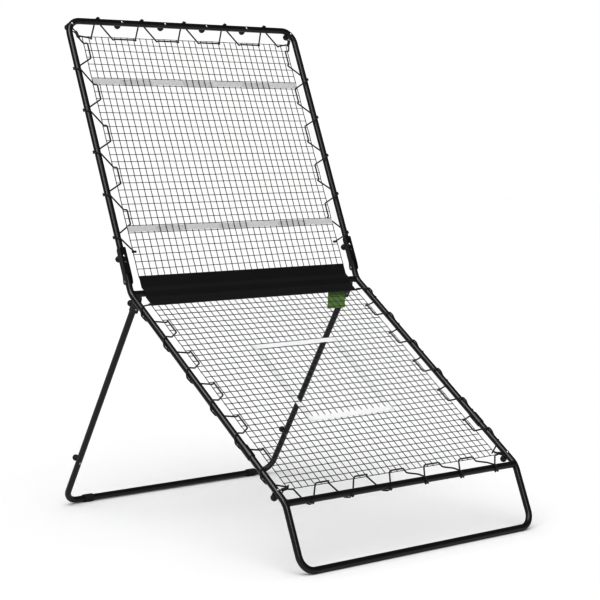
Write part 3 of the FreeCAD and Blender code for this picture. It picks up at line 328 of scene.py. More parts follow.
class Sweep:
    """A round bar grown ring by ring along runs and tangent arcs, with its length and turn kept as UVs."""

    def __init__(self, start, heading, radius, sides):
        self.bm = bmesh.new()
        self.along = self.bm.verts.layers.float.new("along")
        self.around = self.bm.verts.layers.float.new("around")
        made = bmesh.ops.create_circle(self.bm, segments=sides, radius=radius,
                                       matrix=facing(heading, start))
        self.ring = made["verts"]
        for index, vert in enumerate(self.ring):
            vert[self.around] = index / sides
        self.edges = list(self.bm.edges)
        self.first_edges = list(self.bm.edges)
        self.place = Vector(start)
        self.length = 0.0

    def grow(self, added):
        """Extrudes the last ring in place and returns its new vertices."""
        grown = bmesh.ops.extrude_edge_only(self.bm, edges=self.edges)["geom"]
        fresh = [item for item in grown if isinstance(item, bmesh.types.BMVert)]
        known = set(fresh)
        self.edges = [item for item in grown if isinstance(item, bmesh.types.BMEdge)
                      and item.verts[0] in known and item.verts[1] in known]
        self.length += added
        for vert in fresh:
            vert[self.along] = self.length
        self.ring = fresh
        return fresh

    def run_to(self, place):
        step = place - self.place
        if step.length > 1e-6:
            bmesh.ops.translate(self.bm, verts=self.grow(step.length), vec=step)
            self.place = Vector(place)

    def turn(self, centre, axis, angle, steps):
        step = angle / steps
        matrix = Matrix.Rotation(step, 3, axis)
        radius = (self.place - centre).length
        for _ in range(steps):
            bmesh.ops.rotate(self.bm, verts=self.grow(radius * step), cent=centre, matrix=matrix)
        self.place = centre + Matrix.Rotation(angle, 3, axis) @ (self.place - centre)

    def finish(self):
        """Closes both ends and writes the UV map: turn across, millimetres along as metres."""
        for edges in (self.first_edges, self.edges):
            bmesh.ops.contextual_create(self.bm, geom=edges)
        layer = self.bm.loops.layers.uv.new("weave")
        for face in self.bm.faces:
            turns = [loop.vert[self.around] for loop in face.loops]
            wraps = max(turns) - min(turns) > 0.5
            for loop, value in zip(face.loops, turns):
                shifted = value + 1.0 if wraps and value < 0.5 else value
                loop[layer].uv = (shifted, loop.vert[self.along] * 0.001)
        return self.bm


def swept(points, bends, radius, sides=12, arc_step=14.0):
    """A round bar along the points, with each corner rounded to its bend radius."""
    sweep = Sweep(points[0], (points[1] - points[0]).normalized(), radius, sides)
    for before, corner, after, bend in zip(points, points[1:], points[2:], bends):
        into = (corner - before).normalized()
        out = (after - corner).normalized()
        angle = into.angle(out)
        if angle < 1e-3:
            continue
        sweep.run_to(corner - into * bend * math.tan(angle / 2))
        centre = corner + (out - into).normalized() * (bend / math.cos(angle / 2))
        sweep.turn(centre, into.cross(out).normalized(), angle,
                   max(1, math.ceil(math.degrees(angle) / arc_step)))
    sweep.run_to(points[-1])
    return sweep.finish()


def cloth_grid(columns, rows, place):
    """A grid of cloth: place(u, v) gives each point for u and v from 0 to 1, and its two flat lengths."""
    bm = bmesh.new()
    bmesh.ops.create_grid(bm, x_segments=columns, y_segments=rows, size=0.5)
    layer = bm.loops.layers.uv.new("weave")
    flat = {}
    for vert in bm.verts:
        point, lengths = place(vert.co.x + 0.5, vert.co.y + 0.5)
        flat[vert] = lengths
        vert.co = point
    for face in bm.faces:
        for loop in face.loops:
            loop[layer].uv = flat[loop.vert]
    return bm


# Node groups that several finishes share

def shader_group(name, inputs, outputs):
    tree = bpy.data.node_groups.new(name, "ShaderNodeTree")
    for label, kind, value in inputs:
        socket = tree.interface.new_socket(name=label, in_out="INPUT", socket_type=kind)
        if value is not None:
            socket.default_value = value
    for label, kind in outputs:
        tree.interface.new_socket(name=label, in_out="OUTPUT", socket_type=kind)
    return tree, tree.nodes.new("NodeGroupInput"), tree.nodes.new("NodeGroupOutput")


def calc(tree, operation, first, second=None, third=None, clamp=False):
    """One Math node. Sockets are linked and numbers are typed in."""
    node = tree.nodes.new("ShaderNodeMath")
    node.operation = operation
    node.use_clamp = clamp
    for socket, value in zip(node.inputs, (first, second, third)):
        if value is None:
            continue
        if isinstance(value, (int, float)):
            socket.default_value = value
        else:
            tree.links.new(value, socket)
    return node.outputs[0]


def noise_value(tree, vector, scale, detail=2.0, roughness=0.5):
    node = tree.nodes.new("ShaderNodeTexNoise")
    node.inputs["Detail"].default_value = detail
    node.inputs["Roughness"].default_value = roughness
    if isinstance(scale, (int, float)):
        node.inputs["Scale"].default_value = scale
    else:
        tree.links.new(scale, node.inputs["Scale"])
    tree.links.new(vector, node.inputs["Vector"])
    return node.outputs["Fac"]


def uv_parts(tree, given):
    """The two directions of the weave's UV map."""
    split = tree.nodes.new("ShaderNodeSeparateXYZ")
    tree.links.new(given, split.inputs[0])
    return split.outputs["X"], split.outputs["Y"]


def patchiness_group():
    """Soft uneven patches, and a few sharp small scuffs."""
    tree, given, result = shader_group(
        "surface_patches",
        [("Vector", "NodeSocketVector", None), ("Patch Scale", "NodeSocketFloat", 4.0),
         ("Scuff Scale", "NodeSocketFloat", 60.0), ("Scuff Amount", "NodeSocketFloat", 0.3)],
        [("Patches", "NodeSocketFloat"), ("Scuffs", "NodeSocketFloat")])
    patches = noise_value(tree, given.outputs["Vector"], given.outputs["Patch Scale"], 3.0)
    fine = noise_value(tree, given.outputs["Vector"], given.outputs["Scuff Scale"], 6.0, 0.7)
    edge = calc(tree, "SUBTRACT", 0.84, calc(tree, "MULTIPLY", given.outputs["Scuff Amount"], 0.12))
    scuffs = calc(tree, "MULTIPLY", calc(tree, "SUBTRACT", fine, edge), 14.0, clamp=True)
    tree.links.new(patches, result.inputs["Patches"])
    tree.links.new(scuffs, result.inputs["Scuffs"])


def grain_group():
    """The fine relief of a coat of paint or of moulded plastic."""
    tree, given, result = shader_group(
        "fine_grain",
        [("Vector", "NodeSocketVector", None), ("Scale", "NodeSocketFloat", 700.0)],
        [("Height", "NodeSocketFloat")])
    coarse = noise_value(tree, given.outputs["Vector"], given.outputs["Scale"], 1.0)
    finer = noise_value(tree, given.outputs["Vector"],
                        calc(tree, "MULTIPLY", given.outputs["Scale"], 3.1), 1.0)
    height = calc(tree, "ADD", calc(tree, "MULTIPLY", coarse, 0.7), calc(tree, "MULTIPLY", finer, 0.3))
    tree.links.new(height, result.inputs["Height"])


def weave_group():
    """Plain weave: threads both ways, each over and under the next, from a UV map in metres."""
    tree, given, result = shader_group(
        "plain_weave",
        [("Vector", "NodeSocketVector", None), ("Across", "NodeSocketFloat", 900.0),
         ("Along", "NodeSocketFloat", 900.0)],
        [("Height", "NodeSocketFloat"), ("Gaps", "NodeSocketFloat")])
    u, v = uv_parts(tree, given.outputs["Vector"])
    across = calc(tree, "MULTIPLY", u, given.outputs["Across"])
    along = calc(tree, "MULTIPLY", v, given.outputs["Along"])
    ridge_x = calc(tree, "ABSOLUTE", calc(tree, "SINE", calc(tree, "MULTIPLY", across, math.pi)))
    ridge_y = calc(tree, "ABSOLUTE", calc(tree, "SINE", calc(tree, "MULTIPLY", along, math.pi)))
    parity = calc(tree, "FLOORED_MODULO", calc(tree, "ADD", calc(tree, "FLOOR", across),
                                               calc(tree, "FLOOR", along)), 2.0)
    over = calc(tree, "MULTIPLY", ridge_x, parity)
    under = calc(tree, "MULTIPLY", ridge_y, calc(tree, "SUBTRACT", 1.0, parity))
    gaps = calc(tree, "SUBTRACT", 1.0, calc(tree, "MULTIPLY", ridge_x, ridge_y), clamp=True)
    tree.links.new(calc(tree, "ADD", over, under), result.inputs["Height"])
    tree.links.new(gaps, result.inputs["Gaps"])


def braid_group():
    """A round braided sleeve: strands that wind both ways, from a UV map of turn and metres."""
    tree, given, result = shader_group(
        "round_braid",
        [("Vector", "NodeSocketVector", None), ("Strands", "NodeSocketFloat", 8.0),
         ("Pitch", "NodeSocketFloat", 110.0)],
        [("Height", "NodeSocketFloat")])
    u, v = uv_parts(tree, given.outputs["Vector"])
    turn = calc(tree, "MULTIPLY", u, given.outputs["Strands"])
    climb = calc(tree, "MULTIPLY", calc(tree, "MULTIPLY", v, given.outputs["Pitch"]),
                 given.outputs["Strands"])
    one_way = calc(tree, "SINE", calc(tree, "MULTIPLY", calc(tree, "ADD", turn, climb), math.pi))
    other_way = calc(tree, "SINE", calc(tree, "MULTIPLY", calc(tree, "SUBTRACT", turn, climb), math.pi))
    height = calc(tree, "ABSOLUTE", calc(tree, "MULTIPLY", one_way, other_way))
    tree.links.new(height, result.inputs["Height"])


def twist_group():
    """Twisted yarn: plies that wind one way, from a UV map of turn and metres."""
    tree, given, result = shader_group(
        "yarn_twist",
        [("Vector", "NodeSocketVector", None), ("Plies", "NodeSocketFloat", 3.0),
         ("Pitch", "NodeSocketFloat", 220.0)],
        [("Height", "NodeSocketFloat")])
    u, v = uv_parts(tree, given.outputs["Vector"])
    turn = calc(tree, "MULTIPLY", u, given.outputs["Plies"])
    climb = calc(tree, "MULTIPLY", v, given.outputs["Pitch"])
    wave = calc(tree, "SINE", calc(tree, "MULTIPLY", calc(tree, "ADD", turn, climb), math.pi))
    tree.links.new(calc(tree, "ABSOLUTE", wave), result.inputs["Height"])


# Finishes

class Finish:
    """One material: its Principled shader, and short ways to feed it."""

    def __init__(self, name, colour, roughness, metallic=0.0):
        self.material = bpy.data.materials.new(name)
        self.material.use_nodes = True
        self.tree = self.material.node_tree
        self.shader = self.tree.nodes["Principled BSDF"]
        self.shader.inputs["Base Color"].default_value = colour
        self.shader.inputs["Roughness"].default_value = roughness
        self.shader.inputs["Metallic"].default_value = metallic
        self.colour = colour
        self.roughness = roughness
        coordinates = self.tree.nodes.new("ShaderNodeTexCoord")
        self.object_place = coordinates.outputs["Object"]
        self.bumps = None

    def set(self, **values):
        for label, value in values.items():
            self.shader.inputs[label.replace("_", " ").title().replace("Ior", "IOR")].default_value = value

    def uv(self):
        node = self.tree.nodes.new("ShaderNodeUVMap")
        node.uv_map = "weave"
        return node.outputs["UV"]

    def effect(self, group, vector, **values):
        node = self.tree.nodes.new("ShaderNodeGroup")
        node.node_tree = bpy.data.node_groups[group]
        self.tree.links.new(vector, node.inputs["Vector"])
        for label, value in values.items():
            node.inputs[label.replace("_", " ")].default_value = value
        return node.outputs

    def patches(self, patch_scale, scuff_scale, scuff_amount):
        """Masks of soft patches and of small scuffs."""
        return self.effect("surface_patches", self.object_place, Patch_Scale=patch_scale,
                           Scuff_Scale=scuff_scale, Scuff_Amount=scuff_amount)

    def grain(self, scale, distance, strength):
        """A fine relief all over."""
        self.bump(self.effect("fine_grain", self.object_place, Scale=scale)["Height"], distance, strength)

    def tint(self, mask, colour, strength=1.0, under=None):
        """Mixes a second colour in where the mask is high."""
        mix = self.tree.nodes.new("ShaderNodeMix")
        mix.data_type = "RGBA"
        mix.inputs["B"].default_value = colour
        if under is None:
            mix.inputs["A"].default_value = self.colour
        else:
            self.tree.links.new(under, mix.inputs["A"])
        factor = mask if strength == 1.0 else calc(self.tree, "MULTIPLY", mask, strength, clamp=True)
        self.tree.links.new(factor, mix.inputs["Factor"])
        self.tree.links.new(mix.outputs["Result"], self.shader.inputs["Base Color"])
        return mix.outputs["Result"]

    def vary_roughness(self, mask, low, high):
        spread = calc(self.tree, "MULTIPLY_ADD", mask, high - low, low, clamp=True)
        self.tree.links.new(spread, self.shader.inputs["Roughness"])

    def bump(self, height, distance, strength=1.0):
        node = self.tree.nodes.new("ShaderNodeBump")
        node.inputs["Distance"].default_value = distance
        node.inputs["Strength"].default_value = strength
        self.tree.links.new(height, node.inputs["Height"])
        if self.bumps is not None:
            self.tree.links.new(self.bumps, node.inputs["Normal"])
        self.tree.links.new(node.outputs["Normal"], self.shader.inputs["Normal"])
        self.bumps = node.outputs["Normal"]


def kept(name, make):
    """The finish of that name, made the first time that it is asked for."""
    return bpy.data.materials.get(name) or make(name)


def mixed(colour, factor, other=(1.0, 1.0, 1.0)):
    return tuple(a + (b - a) * factor for a, b in zip(colour[:3], other)) + (1.0,)


def grey(value):
    return value, value, value, 1.0


def worn(finish, patches, patchy, scuffed, spread):
    """Soft patches and scuffs of other tones over the whole, with the roughness changing between them."""
    toned = finish.tint(patches["Patches"], *patchy)
    if scuffed is not None:
        finish.tint(patches["Scuffs"], *scuffed, under=toned)
    finish.vary_roughness(patches["Patches"], *spread)


def paint_finish(name):
    settings = bpy.context.scene.rebounder_frame
    finish = Finish(name, tuple(settings.paint), settings.paint_roughness)
    finish.set(specular_ior_level=0.42, coat_weight=0.18, coat_roughness=0.12)
    worn(finish, finish.patches(9.0, 85.0, 0.35), (mixed(finish.colour, 0.006), 0.9), (grey(0.09), 0.35),
         (finish.roughness - 0.07, finish.roughness + 0.09))
    finish.grain(420.0, 0.00022, 0.55)
    return finish.material


def zinc_finish(name):
    finish = Finish(name, tuple(bpy.context.scene.rebounder_frame.zinc), 0.3, 1.0)
    worn(finish, finish.patches(180.0, 600.0, 1.0), ((0.62, 0.6, 0.5, 1.0), 0.5),
         ((0.3, 0.29, 0.27, 1.0), 0.6), (0.22, 0.42))
    finish.grain(2600.0, 0.00005, 0.5)
    return finish.material


def steel_finish(name):
    finish = Finish(name, (0.34, 0.34, 0.35, 1.0), 0.42, 1.0)
    worn(finish, finish.patches(60.0, 400.0, 0.8), ((0.22, 0.2, 0.18, 1.0), 0.6), None, (0.32, 0.55))
    return finish.material


def plastic_finish(name):
    finish = Finish(name, tuple(bpy.context.scene.rebounder_frame.plastic), 0.42)
    finish.set(specular_ior_level=0.45)
    worn(finish, finish.patches(70.0, 500.0, 0.5), (mixed(finish.colour, 0.01), 0.8), (grey(0.06), 0.4),
         (0.36, 0.52))
    finish.grain(1900.0, 0.00012, 0.7)
    return finish.material


def rubber_finish(name):
    finish = Finish(name, grey(0.014), 0.72)
    finish.set(specular_ior_level=0.35)
    worn(finish, finish.patches(45.0, 260.0, 1.0), ((0.03, 0.029, 0.028, 1.0), 0.7),
         ((0.11, 0.1, 0.09, 1.0), 0.5), (0.62, 0.86))
    finish.grain(1500.0, 0.0002, 0.8)
    return finish.material


def whipping_finish(name):
    finish = Finish(name, tuple(bpy.context.scene.rebounder_cord.sleeve), 0.5)
    finish.set(specular_ior_level=0.4)
    worn(finish, finish.patches(140.0, 900.0, 0.6), (mixed(finish.colour, 0.015), 0.8), (grey(0.07), 0.3),
         (0.42, 0.62))
    finish.grain(2200.0, 0.00012, 0.8)
    return finish.material


def sewing_finish(name, colour, other, strength, patch_scale):
    finish = Finish(name, colour, 0.6)
    worn(finish, finish.patches(patch_scale, 900.0, 0.6), (other, strength), None, (0.5, 0.7))
    return finish.material


def thread_finish(name):
    return sewing_finish(name, (0.035, 0.035, 0.038, 1.0), (0.055, 0.055, 0.058, 1.0), 0.8, 120.0)


def pale_thread_finish(name):
    return sewing_finish(name, (0.62, 0.62, 0.63, 1.0), grey(0.5), 0.7, 160.0)


def tag_thread_finish(name):
    return sewing_finish(name, (0.03, 0.075, 0.018, 1.0), (0.05, 0.11, 0.03, 1.0), 0.7, 160.0)


def twine_finish(name):
    settings = bpy.context.scene.rebounder_net
    finish = Finish(name, tuple(settings.twine), 0.74)
    finish.set(specular_ior_level=0.3, sheen_weight=0.15, sheen_roughness=0.5)
    twist = finish.effect("yarn_twist", finish.uv(), Plies=3.0, Pitch=260.0)
    patches = finish.patches(25.0, 900.0, 0.6)
    # Painted highlight on the ply crests and painted shade in the grooves: the twist's height tints the
    # crests lighter.
    toned = finish.tint(twist["Height"], mixed(finish.colour, 0.03), 0.8)
    finish.tint(patches["Patches"], mixed(finish.colour, 0.02), 0.5, under=toned)
    finish.vary_roughness(patches["Patches"], 0.66, 0.84)
    finish.bump(twist["Height"], 0.00025, 0.9)
    return finish.material


def webbing_finish(name):
    settings = bpy.context.scene.rebounder_cloth
    finish = Finish(name, tuple(settings.strike if name == "strike_webbing" else settings.webbing), 0.78)
    finish.set(specular_ior_level=0.25, sheen_weight=0.25, sheen_roughness=0.4)
    weave = finish.effect("plain_weave", finish.uv(), Across=620.0, Along=780.0)
    patches = finish.patches(14.0, 300.0, 1.0)
    black = (0.0, 0.0, 0.0)
    # Painted shade: the gaps between the threads are tinted darker.
    toned = finish.tint(weave["Gaps"], mixed(finish.colour, 0.37, black), 0.45)
    toned = finish.tint(patches["Patches"], mixed(finish.colour, 0.15, black), 0.35, under=toned)
    finish.tint(patches["Scuffs"], mixed(finish.colour, 0.32, black), 0.35, under=toned)
    finish.vary_roughness(weave["Height"], 0.84, 0.7)
    finish.bump(weave["Height"], 0.00035, 0.9)
    return finish.material


def band_finish(name):
    settings = bpy.context.scene.rebounder_cloth
    finish = Finish(name, tuple(settings.band), 0.58)
    finish.set(specular_ior_level=0.2, sheen_weight=0.08, sheen_roughness=0.45)
    weave = finish.effect("plain_weave", finish.uv(), Across=1400.0, Along=1400.0)
    patches = finish.patches(7.0, 400.0, 0.6)
    # Painted highlight: the weave's raised thread crests are tinted lighter.
    toned = finish.tint(weave["Height"], mixed(finish.colour, 0.009), 0.7)
    toned = finish.tint(patches["Patches"], mixed(finish.colour, 0.007), 0.6, under=toned)
    finish.tint(patches["Scuffs"], grey(0.05), 0.3, under=toned)
    finish.vary_roughness(patches["Patches"], 0.44, 0.6)
    finish.bump(weave["Height"], 0.00018, 0.8)
    return finish.material


def braid_finish(name):
    settings = bpy.context.scene.rebounder_cord
    finish = Finish(name, tuple(settings.sleeve), 0.66)
    finish.set(specular_ior_level=0.32, sheen_weight=0.2, sheen_roughness=0.5)
    braid = finish.effect("round_braid", finish.uv(), Strands=float(settings.strands), Pitch=38.0)
    patches = finish.patches(30.0, 700.0, 0.6)
    # Painted highlight on the strand crests and painted shade in the grooves: the braid's height tints the
    # crests lighter.
    toned = finish.tint(braid["Height"], mixed(finish.colour, 0.025), 0.8)
    finish.tint(patches["Scuffs"], grey(0.08), 0.3, under=toned)
    finish.vary_roughness(braid["Height"], 0.76, 0.58)
    finish.bump(braid["Height"], 0.00045, 0.9)
    return finish.material


def tag_finish(name):
    """Two greens that meet at a seam line, with a plain disc in a ring woven in."""
    settings = bpy.context.scene.rebounder_cloth
    finish = Finish(name, tuple(settings.tag_green), 0.7)
    finish.set(specular_ior_level=0.25, sheen_weight=0.2, sheen_roughness=0.4)
    tree = finish.tree
    uv = finish.uv()
    across, up = uv_parts(tree, uv)
    seam_height, middle_x, middle_y = 0.0585, 0.05, 0.031
    header = calc(tree, "GREATER_THAN", up, seam_height)
    toned = finish.tint(header, tuple(settings.tag_dark))
    seam = calc(tree, "COMPARE", up, seam_height, 0.0009)
    toned = finish.tint(seam, mixed(settings.tag_dark, 0.25, (0.0, 0.02, 0.0)), under=toned)
    from_x = calc(tree, "SUBTRACT", across, middle_x)
    from_y = calc(tree, "SUBTRACT", up, middle_y)
    distance = calc(tree, "SQRT", calc(tree, "ADD", calc(tree, "MULTIPLY", from_x, from_x),
                                       calc(tree, "MULTIPLY", from_y, from_y)))
    disc = calc(tree, "LESS_THAN", distance, 0.0135)
    toned = finish.tint(disc, (0.3, 0.38, 0.26, 1.0), 0.75, under=toned)
    ring = calc(tree, "COMPARE", distance, 0.019, 0.0016)
    toned = finish.tint(ring, (0.24, 0.34, 0.17, 1.0), 0.6, under=toned)
    patches = finish.patches(90.0, 500.0, 1.0)
    toned = finish.tint(patches["Patches"], (0.13, 0.25, 0.07, 1.0), 0.3, under=toned)
    weave = finish.effect("plain_weave", uv, Across=1500.0, Along=1500.0)
    # Painted shade: the gaps between the threads are tinted darker green.
    finish.tint(weave["Gaps"], (0.02, 0.05, 0.012, 1.0), 0.35, under=toned)
    finish.vary_roughness(weave["Height"], 0.8, 0.62)
    finish.bump(weave["Height"], 0.00015, 0.8)
    return finish.material


def floor_finish(name):
    settings = bpy.context.scene.rebounder_stage
    finish = Finish(name, tuple(settings.floor), 0.85)
    finish.set(specular_ior_level=0.15)
    return finish.material


# Operators

CAMERA_AZIMUTH, CAMERA_ELEVATION, CAMERA_ROLL = -40.31, 4.97, -0.06
CAMERA_TARGET = Vector((0.2830, HINGE.y, 0.9281))
CAMERA_DISTANCE = 7.924
CAMERA_SHIFT = (0.0008, -0.0113)
LIGHT_TARGET = Vector((0.0, 0.25, 1.0))


class REBOUNDER_OT_camera(bpy.types.Operator):
    """Place the camera where the photograph was taken from"""
    bl_idname = "rebounder.camera"
    bl_label = "Camera"

    def execute(self, context):
        settings = context.scene.rebounder_stage
        azimuth, elevation = math.radians(CAMERA_AZIMUTH), math.radians(CAMERA_ELEVATION)
        back = Vector((math.sin(azimuth) * math.cos(elevation), -math.cos(azimuth) * math.cos(elevation),
                       math.sin(elevation)))
        lens = bpy.data.cameras.new("camera")
        lens.sensor_width = 36.0
        lens.sensor_fit = "HORIZONTAL"
        lens.lens = settings.focal_length
        lens.shift_x, lens.shift_y = CAMERA_SHIFT
        lens.clip_end = 100.0
        camera = bpy.data.objects.new("camera", lens)
        context.scene.collection.objects.link(camera)
        roll = Matrix.Rotation(math.radians(CAMERA_ROLL), 4, "Z")
        camera.matrix_world = (Matrix.Translation(CAMERA_TARGET + back * CAMERA_DISTANCE)
                               @ back.to_track_quat("Z", "Y").to_matrix().to_4x4() @ roll)
        context.scene.camera = camera
        return {"FINISHED"}


class REBOUNDER_OT_stage(bpy.types.Operator):
    """Lay a pale floor and set soft studio light round the object"""
    bl_idname = "rebounder.stage"
    bl_label = "Floor and Light"

    def execute(self, context):
        settings = context.scene.rebounder_stage
        bm = bmesh.new()
        bmesh.ops.create_grid(bm, x_segments=8, y_segments=8, size=30.0)
        mesh = bpy.data.meshes.new("floor")
        bm.to_mesh(mesh)
        bm.free()
        mesh.materials.append(kept("studio_floor", floor_finish))
        floor = bpy.data.objects.new("floor", mesh)
        context.scene.collection.objects.link(floor)

        world = bpy.data.worlds.new("studio")
        world.use_nodes = True
        tree = world.node_tree
        background = tree.nodes["Background"]
        background.inputs["Color"].default_value = (1.0, 1.0, 1.0, 1.0)
        rays = tree.nodes.new("ShaderNodeLightPath")
        dimmed = calc(tree, "MULTIPLY", rays.outputs["Is Glossy Ray"], settings.sky - settings.reflected)
        level = calc(tree, "SUBTRACT", settings.sky, dimmed)
        seen = calc(tree, "MAXIMUM", level, rays.outputs["Is Camera Ray"])
        tree.links.new(seen, background.inputs["Strength"])
        context.scene.world = world
        context.scene.view_settings.view_transform = "Standard"
        context.scene.view_settings.look = "None"
        context.scene.view_settings.gamma = settings.gamma

        sun = bpy.data.lights.new("sun", "SUN")
        sun.energy = settings.key
        sun.angle = math.radians(60.0)
        self.hung(sun, (-2.0, -1.4, 5.0))
        self.softbox("streak", 2.2, 5.0, settings.streak, (-3.2, -0.8, 4.9))
        self.softbox("low_streak", 1.1, 1.6, settings.low_streak, (-2.8, -4.4, 2.6))
        return {"FINISHED"}

    def softbox(self, name, width, height, power, place):
        """A softbox that shows in shiny surfaces only."""
        box = bpy.data.lights.new(name, "AREA")
        box.shape = "RECTANGLE"
        box.size, box.size_y, box.energy = width, height, power
        self.hung(box, place).visible_diffuse = False

    def hung(self, light, place):
        """A light hung at the place and turned to the object's middle."""
        lamp = bpy.data.objects.new(light.name, light)
        bpy.context.scene.collection.objects.link(lamp)
        aim = LIGHT_TARGET - Vector(place)
        lamp.matrix_world = Matrix.Translation(place) @ aim.to_track_quat("-Z", "Y").to_matrix().to_4x4()
        return lamp


PAINTED = ["upright_left", "upright_right", "top_centre_tube", "hinge_channel_left", "hinge_channel_right",
           "rail_left", "rail_right", "rail_collars", "front_foot_frame", "front_cross_tube",
           "hinge_cross_tube", "leg_stubs", "leg_tube_left", "leg_tube_right", "rear_foot_frame",
           "leg_channel_left", "leg_channel_right"]


class REBOUNDER_OT_tubes(bpy.types.Operator):
    """Paint the tubes and channels, and run the weld beads round the joints"""
    bl_idname = "rebounder.tubes"
    bl_label = "Painted Tubes"

    def execute(self, context):
        paint = kept("black_powder_coat", paint_finish)
        for node in PAINTED:
            refined(node, paint, node + "_painted")
        for node in ("top_splice_sleeves", "leg_inner_sleeves"):
            refined(node, kept("bare_tube_steel", steel_finish), node + "_bare")

        bead = context.scene.rebounder_frame.weld_size * 500
        joints = []
        for side in (-1, 1):
            joints.append((LOWER, Vector((side * RAIL_X, -LOWER_LENGTH, 0.0)), -X_AXIS * side))
            joints.append((UPPER, Vector((side * RAIL_X, 0.0, 0.0)), -X_AXIS * side))
            joints.append((REAR, Vector((side * LEG_X, 0.0, 0.0)), -Y_AXIS))
        bm = bmesh.new()
        for plane, place, outward in joints:
            self.weld(bm, plane, place, outward, bead)
        finished(bm, "weld_beads", "lower_frame", paint, crease=60.0)
        return {"FINISHED"}

    def weld(self, bm, plane, place, outward, bead, count=34):
        """A ring of overlapping ripples where a tube's end meets the side of another."""
        side = Z_AXIS if abs(outward.z) < 0.5 else X_AXIS
        other = outward.cross(side)
        for index in range(count):
            angle = math.tau * index / count
            radial = side * math.cos(angle) + other * math.sin(angle)
            reach = TUBE_R * math.sqrt(max(0.0, 1 - (radial.dot(Z_AXIS)) ** 2))
            centre = place + outward * (reach + bead * 0.25) + radial * (TUBE_R + bead * 0.2)
            bmesh.ops.create_icosphere(bm, subdivisions=1, radius=bead,
                                       matrix=plane @ Matrix.Translation(centre))


class REBOUNDER_OT_hardware(bpy.types.Operator):
    """Plate the bolts, pins and rivets, and mould the knobs, pegs and foot pads"""
    bl_idname = "rebounder.hardware"
    bl_label = "Bolts, Knobs, Pegs and Pads"

    def execute(self, context):
        zinc = kept("zinc_plate", zinc_finish)
        plastic = kept("moulded_plastic", plastic_finish)
        for node in ("top_bolts", "upper_corner_bolts", "hinge_lock_bolts", "hinge_rivets", "hinge_pins",
                     "front_corner_bolts", "leg_pins", "leg_lock_bolts", "leg_foot_bolts"):
            refined(node, zinc, node + "_plated")
        for node in ("top_pegs", "upright_pegs", "front_cross_pegs", "rail_pegs"):
            refined(node, plastic, node + "_moulded")
        for node in sorted(frame["nodes"]):
            if "_knob" in node:
                refined(node, plastic, node + "_moulded")
        rubber = kept("moulded_rubber", rubber_finish)
        refined("rear_foot_pads", rubber, "rear_foot_pads_rubber")
        return {"FINISHED"}


DRIFT_SEED = 5


